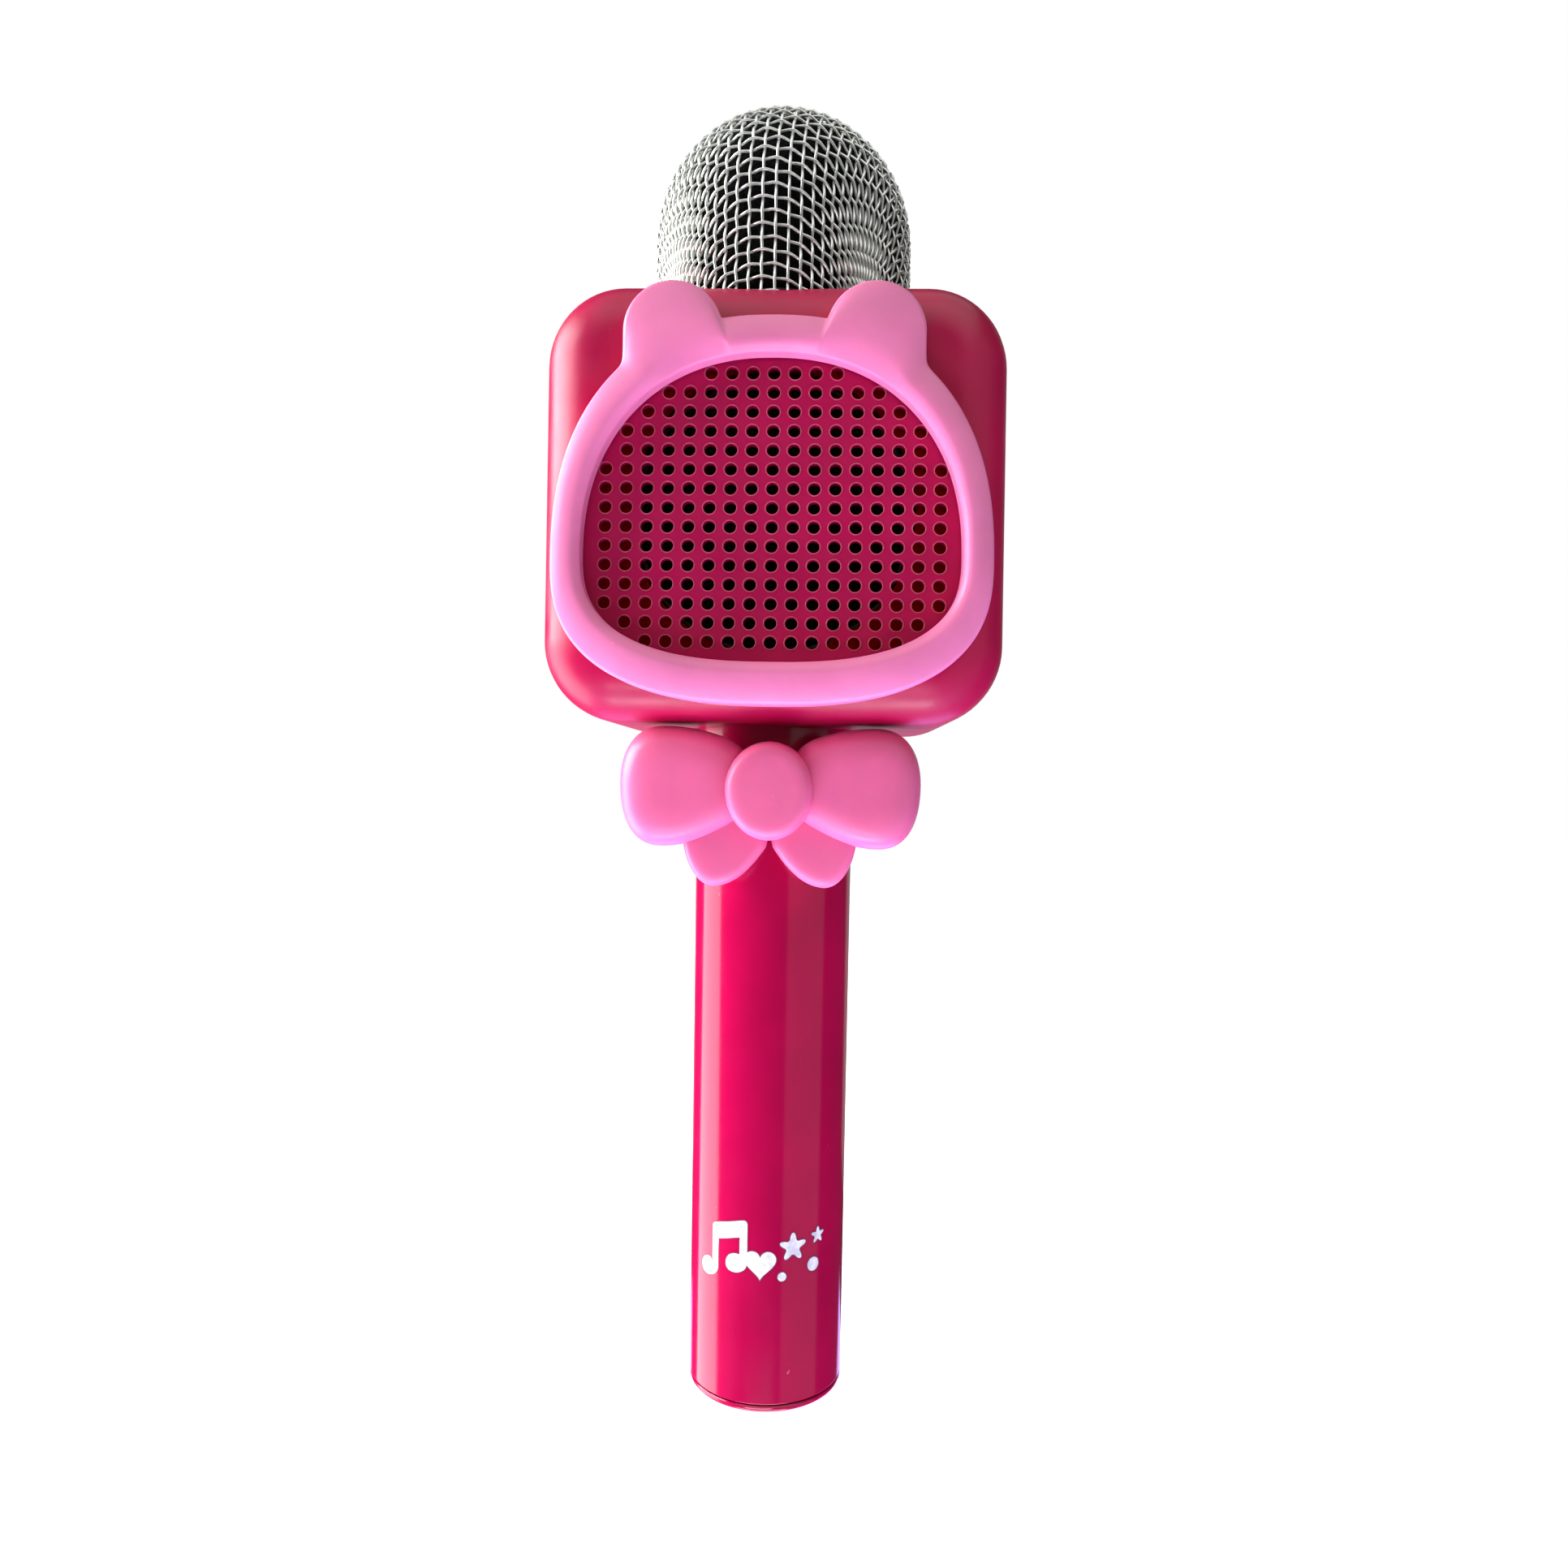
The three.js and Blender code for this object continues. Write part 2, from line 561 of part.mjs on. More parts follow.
// ---- Loudspeaker ----
// Turned about Y in a group on the speaker's axis. Cone, dust cap and voice coil move together.
function addSpeaker() {
  const speaker = group(0, 0, SPEAKER.z);
  const rim = SPEAKER.radius;
  const gasketFront = SPEAKER.padBack + GAP;
  add(speaker, "speaker_gasket", turnedY(tubeProfile(24, rim, gasketFront, gasketFront + 1)), FOAM);

  const basket = turnedY([
    [23.4, -23],
    [rim, -23],
    [rim, -21.6],
    [24.4, -21.6],
    [15.2, -11.6],
    [15.2, -10.8],
    [9, -10.8],
    [9, -12],
    [14, -12],
    [23.4, -21.8],
    [23.4, -23],
  ]);
  const windows = [0, 1, 2, 3].map((i) => {
    const angle = (Math.PI / 2) * (i + 0.5);
    return rodY(19.4 * Math.cos(angle), 19.4 * Math.sin(angle), 3.4, -21.2, -11, 10);
  });
  add(speaker, "speaker_basket", cut(basket, ...windows), ZINC);

  const magnet = turnedY([
    [0, -11.2],
    [6.1, -11.2],
    [6.1, -5],
    [7.8, -5],
    [7.8, -10.5],
    [14.4, -10.5],
    [14.4, -2.5],
    [0, -2.5],
  ]);
  add(speaker, "speaker_magnet", magnet, ZINC);

  const cone = turnedY([
    [22.2, -22.4],
    [22.2, -21.8],
    [21, -22.9],
    [19.6, -21.8],
    [8, -14.2],
    [6.7, -14.2],
    [6.7, -14.8],
    [8, -14.8],
    [19.6, -22.4],
    [21, -23.5],
    [22.2, -22.4],
  ]);
  add(speaker, "speaker_cone", cone, PAPER);
  const dustCap = turnedY([
    [0, -18.4],
    [3, -17.9],
    [5.6, -16.6],
    [7.2, -15.1],
    [6, -15.1],
    [3, -17],
    [0, -17.6],
  ], 24);
  add(speaker, "dust_cap", dustCap, PAPER);
  add(speaker, "voice_coil", turnedY(tubeProfile(6.5, 7.3, -13.9, -7.5)), COPPER);
}

// ---- Electronics ----
// Circuit board behind the control panel, with its switches, two side sockets and four screws.
function addElectronics() {
  const electronics = group();
  const { left, right, bottom, top, front, back } = BOARD;
  const holes = BOARD_SCREWS.map(([x, z]) => rodY(x, z, 1.1, front - 1, back + 1, 12));
  const board = cut(block(left, front, bottom, right, back, top), ...holes);
  add(electronics, "main_board", board, FIBREGLASS);

  const { half, bodyTop, plungerTop } = TACT;
  const tactBody = block(-half, back + GAP, -half, half, bodyTop, half);
  const tactSwitch = join(tactBody, rodY(0, 0, 1.7, bodyTop - 1, plungerTop, 14));
  for (const [name, { x, z }] of Object.entries(BUTTONS)) {
    add(electronics, "tact_switch_" + name, tactSwitch, BLACK, x, z);
  }
  const slideSwitch = block(-4.3, back + GAP, -1.8, 4.3, 22.6, 1.8);
  add(electronics, "slide_switch", slideSwitch, ZINC, 0, SLIDER.z);
  add(electronics, "usb_socket", socketForm(USB), STEEL, 0, USB.z);
  add(electronics, "card_socket", socketForm(CARD), STEEL, 0, CARD.z);

  const headTop = front - GAP;
  const screw = join(rodY(0, 0, 2, headTop - 1.3, headTop, 16), rodY(0, 0, 0.8, headTop - 0.5, back + 5, 10));
  BOARD_SCREWS.forEach(([x, z], i) => add(electronics, "board_screw_" + (i + 1), screw, ZINC, x, z));
}

// A pressed-metal socket open to the right, just inside the casing's side wall.
function socketForm({ y, width, height, depth }) {
  const end = BOX.width / 2 - WALL / 2;
  const back = end - depth;
  const box = (from, to, shrink) =>
    block(from, y - height / 2 + shrink, shrink - width / 2, to, y + height / 2 - shrink, width / 2 - shrink);
  return cut(box(back, end, 0), box(back + 1, end + 1, SOCKET_WALL));
}

// Leads: cell to board, speaker to board and capsule to board.
function addLeads() {
  const leads = group();
  const boardFace = BOARD.front - GAP - 0.2;
  const cellTop = CELL.bottom + CELL.length + GAP;
  for (const [name, side, material] of [["red", 1, RED_LEAD], ["black", -1, BLACK_LEAD]]) {
    const lead = wire([
      [side * 1.6, 0, cellTop],
      [side * 2.4, 0.6, cellTop + 12],
      [side * 3.4, 1.5, 118],
      [side * 5.5, 3, 133],
      [side * 9, 10, 139],
      [side * 9.5, boardFace, 143],
    ]);
    add(leads, "battery_lead_" + name, lead, material);
  }
  const speakerLead = wire([
    [-15.6, -16, 146],
    [-17.5, -10, 143.5],
    [-18, 2, 143],
    [-17.5, 10, 145],
    [-17, boardFace, 148],
  ]);
  add(leads, "speaker_lead", speakerLead, BLACK_LEAD);
  const microphoneLead = wire([
    [0, 0, CAPSULE.bottom - 0.7],
    [0, 0.2, 191],
    [0, 2, 185],
    [0, 9, 180],
    [0, boardFace, 177],
  ], 0.6);
  add(leads, "mic_lead", microphoneLead, GREY_LEAD);
}

// ---- Rear controls ----
// A pink panel with five keys, the power slider and a status light.
function addControls() {
  const controls = group();
  const panel = slab(faceOutline(PANEL, -GAP), BACK - PANEL_RECESS + GAP, BACK + 0.7);
  add(controls, "control_panel", cut(panel, ...keyHoles(24), ...smallOpenings()), PINK);
  for (const [name, { x, z, radius }] of Object.entries(BUTTONS)) {
    add(controls, "button_" + name, buttonForm(radius), PINK, x, z);
  }
  add(controls, "power_slider", sliderForm(), PINK, -SLIDER.travel / 2, SLIDER.z);
  const light = rodY(0, 0, LED.radius, BOARD.back + GAP, BACK + 0.9, 14);
  add(controls, "status_led", light, LIGHT_PIPE, LED.x, LED.z);
}

// A round key with a dished face, and a stem over its switch.
function buttonForm(radius) {
  const { foot, footRadius, flange, face, dish, round } = BUTTON;
  return turnedY([
    [0, foot],
    [footRadius, foot],
    [footRadius, flange],
    [radius, flange],
    [radius, face - round],
    [radius - round, face],
    [radius / 2, face - dish],
    [0, face - dish],
  ], 22);
}

// The power slider: a ribbed knob through the slot, on a foot that stays inside.
function sliderForm() {
  const halfHeight = SLIDER.slotHeight / 2 - GAP;
  const [halfKnob, halfFoot] = [SLIDER.knobWidth / 2, SLIDER.footWidth / 2];
  const top = BACK + 2.2;
  const knob = block(-halfKnob, 24, -halfHeight, halfKnob, top, halfHeight);
  const foot = block(-halfFoot, 23, -2.6, halfFoot, BACK - WALL - GAP, 2.6);
  const grooves = [-1.6, 0, 1.6].map((x) => block(x - 0.4, top - 0.6, -FAR, x + 0.4, top + 1, FAR));
  return cut(join(knob, foot), ...grooves);
}

addHandle();
const casing = group();
addFrontShell(casing);
addRearShell(casing);
addCaseScrews(casing);
const speakerWindow = group();
addGrille(speakerWindow);
addFaceRing(speakerWindow);
addBow();
addWireHead();
addSpeaker();
addElectronics();
addLeads();
addControls();

export default microphone;
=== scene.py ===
import math

import bmesh
import bpy
import numpy as np
from mathutils import Euler, Matrix, Vector
from mathutils.geometry import delaunay_2d_cdt


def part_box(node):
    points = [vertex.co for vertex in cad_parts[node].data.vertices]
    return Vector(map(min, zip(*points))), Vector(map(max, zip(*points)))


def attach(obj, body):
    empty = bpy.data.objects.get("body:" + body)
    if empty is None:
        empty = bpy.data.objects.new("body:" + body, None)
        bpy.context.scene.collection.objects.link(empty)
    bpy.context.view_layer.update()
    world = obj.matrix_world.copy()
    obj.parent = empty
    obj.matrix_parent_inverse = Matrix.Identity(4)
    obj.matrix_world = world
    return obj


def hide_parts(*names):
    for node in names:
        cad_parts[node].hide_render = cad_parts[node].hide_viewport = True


# A toy karaoke microphone. Lengths are millimetres in the frame's own axes, +Z up the handle and
# -Y out of the speaker face, and they turn into metres when a mesh is made. Only the camera and
# the lights are laid out in metres.
MM = 0.001
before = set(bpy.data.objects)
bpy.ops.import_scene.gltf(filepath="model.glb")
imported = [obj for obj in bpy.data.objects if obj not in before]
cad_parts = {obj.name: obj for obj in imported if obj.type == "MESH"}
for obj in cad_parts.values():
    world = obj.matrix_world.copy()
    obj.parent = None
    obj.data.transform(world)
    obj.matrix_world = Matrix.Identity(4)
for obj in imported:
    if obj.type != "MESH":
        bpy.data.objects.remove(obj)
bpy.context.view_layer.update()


def node_box(*nodes):
    """Lowest and highest corner of some CAD nodes together, in millimetres."""
    corners = np.array([[list(corner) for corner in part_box(node)] for node in nodes])
    return corners[:, 0].min(axis=0) / MM, corners[:, 1].max(axis=0) / MM


def facing_part(node):
    """A CAD part that faces along Y: its middle, half its height in Z, and its lowest and highest Y."""
    low, high = node_box(node)
    x, _, z = (low + high) / 2
    return (x, 0, z), (high[2] - low[2]) / 2, low[1], high[1]


# ---- Sizes, from the frame and a few driving dimensions ----
GAP = 0.3  # between two parts that meet

HEAD_LOW, HEAD_HIGH = node_box("front_shell", "rear_shell")
HEAD_MIDDLE, HEAD_HALF = (HEAD_LOW + HEAD_HIGH) / 2, (HEAD_HIGH - HEAD_LOW) / 2
HEAD_CORNER = 14.0
HEAD_EDGE = 10.0
FRONT, BACK = -29.0, 29.0
WALL = 2.4
SEAM_Y = -16.0
SEAM_LIP = 0.35
HEAD_HOLE = 24.9
SCREW_NAMES = [f"case_screw_{number}" for number in range(1, 5)]
WELL_RADIUS, WELL_FLOOR = 2.9, 23

DOME_LOW, DOME_HIGH = node_box("mesh_grille")
DOME_RADIUS = (DOME_HIGH[0] - DOME_LOW[0]) / 2
DOME_CENTRE = DOME_HIGH[2] - DOME_RADIUS
WIRE = 0.26  # the wire's radius
CRIMP = 0.31  # how far it bends over and under the wires that it crosses
WEAVE_PITCH = 2.3
WEAVE_TURN = -6.5

HANDLE_LOW = node_box("handle_tube")[0]
HANDLE_FOOT_RADIUS = 14.45
HANDLE_NECK_RADIUS = 15.0
HANDLE_BORE = 11.0
NECK_Z = HEAD_LOW[2] + WALL + GAP
PRINT_Z = 28.2

# Two half superellipses each: the speaker window, the ring's rim and the rear panel.
WINDOW = dict(z=151.2, half_width=31.5, up=32.9, down=17.9, power_up=2.21, power_down=2.62)
RIM = dict(z=150.0, half_width=36.55, up=40.4, down=23.7, power_up=2.33, power_down=2.57)
PANEL = dict(z=160.0, half_width=26.7, up=25.7, down=25.7, power_up=3.0, power_down=3.0)

EAR = dict(x=16.8, z=187.9, radius=8.2)
RING_FRONT = node_box("face_ring")[0][1]
RING_CENTRE_Z = 155.0
GRILLE_FACE, GRILLE_BACK = (corner[1] for corner in node_box("speaker_grille"))
SEAT_Y, SEAT_THICKNESS, SEAT_MARGIN = GRILLE_BACK + GAP + 0.5, 1.8, 2.0
SPEAKER_Z, SPEAKER_OPENING = 159.3, 24.2
PITCH_X, PITCH_Z, HOLE_TOP_ROW = 3.5, 3.21, 184.96
HOLE_RADIUS, HOLE_LIP, HOLE_SIDES = 1.04, 0.11, 24

BOW_Z = 112.3
BOW_FRONT, BOW_BACK = node_box("bow")[0][1], -13.5
TAIL_FRONT, TAIL_BACK = -21.0, -15.0
KNOT_FRONT, KNOT_BACK = node_box("bow_knot")[0][1], -17.0

KEYS = ("play", "previous", "next", "light", "voice")
KEY_DISH = 0.5

MAGENTA, WORN_MAGENTA = (0.42, 0.0012, 0.052), (0.85, 0.30, 0.45)
PINK, BOW_PINK, WORN_PINK = (0.84, 0.215, 0.42), (0.83, 0.152, 0.32), (0.95, 0.75, 0.85)


# ---- Mesh helpers ----
def circle(count):
    """Angles all the way round."""
    return np.linspace(0, 2 * math.pi, count, endpoint=False)


def quarter(radius, steps):
    """Points on a quarter arc: how far in from the side, and how far below the face."""
    turns = np.linspace(0, math.pi / 2, steps)
    return [(radius * (1 - math.cos(t)), radius * (1 - math.sin(t))) for t in turns]


def dome_points(radius, rise, base, steps):
    """Points of a profile from a wall over a dome to the axis, without the first."""
    turns = np.linspace(0, math.pi / 2, steps)[1:]
    return [(radius * math.cos(t), base + rise * math.sin(t)) for t in turns]


def at_y(outline, y):
    """Points in X and Z as points in space, at one Y or at one each."""
    return np.stack([outline[:, 0], np.broadcast_to(y, len(outline)), outline[:, 1]], axis=1)


def at_x(outline, x):
    """Points in Y and Z as points in space, at one X."""
    return np.stack([np.full(len(outline), x), outline[:, 0], outline[:, 1]], axis=1)


def piece_from(name, points, faces, material):
    """A smooth mesh object from points in millimetres."""
    mesh = bpy.data.meshes.new(name)
    mesh.from_pydata((np.asarray(points, float) * MM).tolist(), [], [list(map(int, f)) for f in faces])
    mesh.validate()
    mesh.shade_smooth()
    piece = bpy.data.objects.new(name, mesh)
    bpy.context.scene.collection.objects.link(piece)
    if material:
        mesh.materials.append(material)
    return piece


def outwards(piece):
    """Turns a closed mesh's faces so that they all point out."""
    shape = bmesh.new()
    shape.from_mesh(piece.data)
    bmesh.ops.recalc_face_normals(shape, faces=shape.faces)
    shape.to_mesh(piece.data)
    shape.free()
    return piece


def bake(piece):
    """Applies the modifiers of a piece to its mesh."""
    graph = bpy.context.evaluated_depsgraph_get()
    done = bpy.data.meshes.new_from_object(piece.evaluated_get(graph))
    piece.modifiers.clear()
    piece.data = done
    return piece


def cut(piece, *cutters):
    """Cuts closed meshes out of a piece."""
    for cutter in cutters:
        modifier = piece.modifiers.new("cut", "BOOLEAN")
        modifier.operation = "DIFFERENCE"
        modifier.solver = "EXACT"
        modifier.object = cutter
    bake(piece)
    for cutter in cutters:
        bpy.data.objects.remove(cutter)


def crisp(piece, angle):
    """Smooth faces, hard edges where they meet at more than an angle, and flat faces kept flat."""
    piece.data.shade_smooth()
    piece.data.set_sharp_from_angle(angle=math.radians(angle))
    modifier = piece.modifiers.new("normals", "WEIGHTED_NORMAL")
    modifier.keep_sharp = True
    modifier.weight = 80
    bake(piece)


def strip_faces(rows, columns):
    """Quads between rings of points."""
    faces = []
    for row in range(rows - 1):
        for column in range(columns):
            here = row * columns + column
            beside = row * columns + (column + 1) % columns
            faces.append((here, beside, beside + columns, here + columns))
    return faces


def capped_faces(rows, columns):
    """Quads between rings of points, and a flat end at each side."""
    last = (rows - 1) * columns
    ends = [tuple(start + k for k in range(columns)) for start in (0, last)]
    return strip_faces(rows, columns) + ends


def loft(name, rings, material=None):
    """A body through rings with the same number of points, closed with flat ends."""
    faces = capped_faces(len(rings), len(rings[0]))
    return outwards(piece_from(name, np.concatenate(rings), faces, material))


def turned(name, profile, material=None, axis="z", centre=(0, 0, 0), sides=96):
    """A [radius, distance] profile, from the axis back to the axis, turned about Z or Y."""
    angles = circle(sides)
    rings = []
    for radius, along in profile:
        a, b = max(radius, 1e-4) * np.cos(angles), max(radius, 1e-4) * np.sin(angles)
        along = np.full(sides, float(along))
        ring = (a, b, along) if axis == "z" else (a, along, b)
        rings.append(np.stack(ring, axis=1) + np.array(centre, float))
    return loft(name, rings, material)


def drill(radius, start, end, centre=(0, 0, 0), sides=96, axis="y", mouth=()):
    """A round cutter along an axis. Its mouth is a list of what is added to the radius and the end."""
    profile = [(0, start), (radius, start), (radius, end)]
    profile += [(radius + wider, end + beyond) for wider, beyond in mouth]
    return turned("drill", profile + [(0, profile[-1][1])], None, axis, centre, sides)


def joined(parts):
    """The points and faces of several forms, as one list of each."""
    points, faces, offset = [], [], 0
    for part_points, part_faces in parts:
        points.append(part_points)
        faces += [tuple(offset + k for k in face) for face in part_faces]
        offset += len(part_points)
    return np.concatenate(points), faces


def copies(piece, places):
    """Joins copies of a piece at some places into one mesh, and removes the first one."""
    points = np.array([v.co for v in piece.data.vertices]) / MM
    faces = [f.vertices[:] for f in piece.data.polygons]
    forms = [(points + np.array(place, float), faces) for place in places]
    made = piece_from(piece.name + "_all", *joined(forms), None)
    bpy.data.objects.remove(piece)
    return made


def placed(piece, slot, *nodes, body="casing", sharp=None):
    """Rides a piece on a body and hides the CAD nodes that it stands for; its finish name (slot) is not
    used.
    """
    if sharp:
        crisp(piece, sharp)
    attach(piece, body)
    if nodes:
        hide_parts(*nodes)


# ---- Outlines ----
def oval(x, z, radius_x, radius_z, count=40):
    """A round outline. A radius may be one number, or one for each angle."""
    angles = circle(count)
    return np.stack([x + radius_x * np.cos(angles), z + radius_z * np.sin(angles)], axis=1)


def rounded_rectangle(centre_a, centre_b, half_a, half_b, radius, steps=5):
    radius = min(radius, half_a, half_b)
    points = []
    for corner, (sign_a, sign_b) in enumerate(((1, 1), (-1, 1), (-1, -1), (1, -1))):
        for step in range(steps + 1):
            angle = math.pi / 2 * (corner + step / steps)
            a = sign_a * (half_a - radius) + radius * math.cos(angle)
            b = sign_b * (half_b - radius) + radius * math.sin(angle)
            points.append((centre_a + a, centre_b + b))
    return np.array(points)


def face_outline(face, count=120, margin=0.0):
    """Two half superellipses that share a width, as points in X and Z."""
    c, s = np.cos(circle(count)), np.sin(circle(count))
    half = np.where(s >= 0, face["up"], face["down"]) + margin
    power = 2 / np.where(s >= 0, face["power_up"], face["power_down"])
    x = np.sign(c) * (face["half_width"] + margin) * np.abs(c) ** power
    z = face["z"] + np.sign(s) * half * np.abs(s) ** power
    return np.stack([x, z], axis=1)


def outline_normals(points):
    """Outward normals of a closed outline that runs anticlockwise."""
    along = np.roll(points, -1, axis=0) - np.roll(points, 1, axis=0)
    normals = np.stack([along[:, 1], -along[:, 0]], axis=1)
    return normals / np.linalg.norm(normals, axis=1, keepdims=True)


def evenly(points, count):
    """Points at even distances along a closed outline."""
    closed = np.concatenate([points, points[:1]])
    steps = np.linalg.norm(np.diff(closed, axis=0), axis=1)
    lengths = np.concatenate([[0], np.cumsum(steps)])
    at = np.linspace(0, lengths[-1], count, endpoint=False)
    return np.stack([np.interp(at, lengths, closed[:, k]) for k in range(2)], axis=1)


def inside_outline(x, z, outline):
    """Whether a point is inside: a line from it to the right crosses the outline an odd number of times."""
    start_x, start_z = outline.T
    end_x, end_z = np.roll(outline, -1, axis=0).T
    crosses = (start_z > z) != (end_z > z)
    with np.errstate(divide="ignore", invalid="ignore"):
        at = start_x + (z - start_z) / (end_z - start_z) * (end_x - start_x)
    return bool(np.count_nonzero(crosses & (x < at)) % 2)


def bezier(start, pieces, steps=16):
    """Points along a chain of cubic curves; each piece is two handles and an end."""
    points = []
    here = np.array(start, float)
    for first, second, end in pieces:
        first, second, end = (np.array(p, float) for p in (first, second, end))
        for t in np.linspace(0, 1, steps, endpoint=False):
            ends = (1 - t) ** 3 * here + t**3 * end
            handles = 3 * (1 - t) ** 2 * t * first + 3 * (1 - t) * t**2 * second
            points.append(ends + handles)
        here = end
    return np.array(points)


# ---- Materials ----
class Nodes:
    """Short forms for building the nodes of a material, or of the world."""

    def __init__(self, tree):
        self.tree = tree
        self.principled = tree.nodes.get("Principled BSDF")
        self.coordinates = self.add("ShaderNodeTexCoord").outputs

    def add(self, kind, **inputs):
        """A node whose inputs are set to values or linked to other nodes."""
        node = self.tree.nodes.new(kind)
        for name, value in inputs.items():
            socket = node.inputs[name.replace("_", " ")]
            if isinstance(value, bpy.types.NodeSocket):
                self.link(value, socket)
            else:
                socket.default_value = value
        return node

    def link(self, source, target):
        self.tree.links.new(source, target)

    def noise(self, size_mm, detail, roughness=0.5, stretch=None, distortion=0.0):
        place = self.coordinates["Object"]
        if stretch:
            place = self.add("ShaderNodeMapping", Scale=stretch, Vector=place).outputs["Vector"]
        scale = 1 / (size_mm * MM)
        shape = dict(Detail=detail, Roughness=roughness, Distortion=distortion)
        return self.add("ShaderNodeTexNoise", Scale=scale, Vector=place, **shape).outputs["Fac"]

    def cells(self, size_mm):
        place = self.coordinates["Object"]
        return self.add("ShaderNodeTexVoronoi", Scale=1 / (size_mm * MM), Vector=place).outputs["Distance"]

    def spread(self, value, low, high, to_low=0.0, to_high=1.0):
        """The value with the range from low to high stretched to another range, and held at its ends."""
        ends = dict(From_Min=low, From_Max=high, To_Min=to_low, To_Max=to_high)
        return self.add("ShaderNodeMapRange", Value=value, **ends).outputs["Result"]

    def times(self, first, second):
        node = self.add("ShaderNodeMath")
        node.operation = "MULTIPLY"
        self.link(first, node.inputs[0])
        self.link(second, node.inputs[1])
        return node.outputs[0]

    def mix(self, factor, first, second):
        node = self.add("ShaderNodeMix")
        node.data_type = "RGBA"
        self.link(factor, node.inputs["Factor"])
        for socket, colour in ((node.inputs[6], first), (node.inputs[7], second)):
            if isinstance(colour, tuple):
                socket.default_value = (*colour, 1)
            else:
                self.link(colour, socket)
        return node.outputs[2]

    def colour(self, source):
        self.link(source, self.principled.inputs["Base Color"])

    def roughness(self, source):
        self.link(source, self.principled.inputs["Roughness"])

    def bump(self, height, distance_mm, strength):
        """Adds a relief on top of any that is already there."""
        node = self.add("ShaderNodeBump", Strength=strength, Distance=distance_mm * MM, Height=height)
        earlier = self.principled.inputs["Normal"].links
        if earlier:
            self.link(earlier[0].from_socket, node.inputs["Normal"])
        self.link(node.outputs["Normal"], self.principled.inputs["Normal"])


def surface(name, colour, roughness, metallic=0.0, **sockets):
    """A Principled material, and the short forms that add nodes to it."""
    material = bpy.data.materials.new(name)
    material.use_nodes = True
    nodes = Nodes(material.node_tree)
    sockets |= dict(Base_Color=(*colour, 1), Roughness=roughness, Metallic=metallic)
    for socket, value in sockets.items():
        nodes.principled.inputs[socket.replace("_", " ")].default_value = value
    material.diffuse_color = (*colour, 1)
    return material, nodes


def moulded(name, colour, worn, roughness, **sockets):
    """Gloss moulding: a little cloudiness, fine grain, handling haze and a few hairline scratches."""
    material, nodes = surface(name, colour, roughness, **sockets)
    cloud = nodes.spread(nodes.noise(14, 4), 0.35, 0.65)
    tinted = nodes.mix(cloud, tuple(0.86 * part for part in colour), colour)
    streaks = nodes.noise(0.7, 2, stretch=(0.35, 1, 0.25), distortion=0.4)
    scratches = nodes.spread(streaks, 0.755, 0.77)
    patches = nodes.spread(nodes.noise(17, 1), 0.54, 0.64, 0, 0.35)
    nodes.colour(nodes.mix(nodes.times(scratches, patches), tinted, worn))
    # On what shows, the range stays on one side of 0.27: a denoised picture has squiggles across it.
    haze = nodes.noise(6, 5, 0.6)
    nodes.roughness(nodes.spread(haze, 0.3, 0.75, roughness * 0.87, roughness * 1.35))
    nodes.bump(nodes.noise(0.35, 3), 0.004, 0.5)
    nodes.bump(nodes.noise(9, 2), 0.02, 0.4)
    return material


def wire_material():
    """Drawn wire, with random patches of brighter tint and uneven shine."""
    material, nodes = surface("woven_wire", (0.78, 0.80, 0.74), 0.3, 0.9)
    patch = nodes.spread(nodes.noise(3.5, 3), 0.3, 0.7)
    nodes.colour(nodes.mix(patch, (0.80, 0.83, 0.78), (0.95, 0.96, 0.90)))
    nodes.roughness(nodes.spread(nodes.noise(0.8, 4), 0.3, 0.7, 0.28, 0.44))
    nodes.bump(nodes.noise(0.12, 2), 0.01, 0.5)
    return material


def foam_material():
    """Open-cell foam, with painted shade that darkens its pores."""
    material, nodes = surface("black_foam", (0.006, 0.006, 0.008), 1.0, Specular_IOR_Level=0.1)
    pores = nodes.cells(0.7)
    # Darkest at each pore's centre: painted shade in the pores.
    depth = nodes.spread(pores, 0, 0.6)
    nodes.colour(nodes.mix(depth, (0.0006, 0.0005, 0.0006), (0.005, 0.004, 0.005)))
    nodes.bump(pores, 0.4, 1.0)
    return material


def print_material():
    """Pad-printed ink, a little thin and grey in the middle of large areas."""
    material, nodes = surface("white_print", (0.85, 0.85, 0.86), 0.35)
    thin = nodes.spread(nodes.noise(1.6, 4, 0.7), 0.42, 0.62)
    nodes.colour(nodes.mix(thin, (0.90, 0.88, 0.90), (0.66, 0.64, 0.67)))
    nodes.bump(nodes.noise(0.3, 2), 0.01, 0.6)
    return material


def metal_material(name, colour):
    """Brushed metal with a slightly uneven tint."""
    material, nodes = surface(name, colour, 0.35, 1.0)
    nodes.colour(nodes.mix(nodes.noise(2.5, 3), tuple(0.75 * part for part in colour), colour))
    nodes.roughness(nodes.spread(nodes.noise(0.9, 4), 0.3, 0.7, 0.29, 0.5))
    nodes.bump(nodes.noise(0.15, 2, stretch=(1, 1, 6)), 0.006, 0.5)
    return material


def paper_material():
    """Pressed paper pulp, for the speaker's cone."""
    material, nodes = surface("cone_paper", (0.012, 0.012, 0.014), 0.9)
    fibre = nodes.noise(0.5, 5, 0.7)
    nodes.colour(nodes.mix(fibre, (0.006, 0.006, 0.007), (0.025, 0.024, 0.026)))
    nodes.bump(fibre, 0.05, 0.8)
    return material


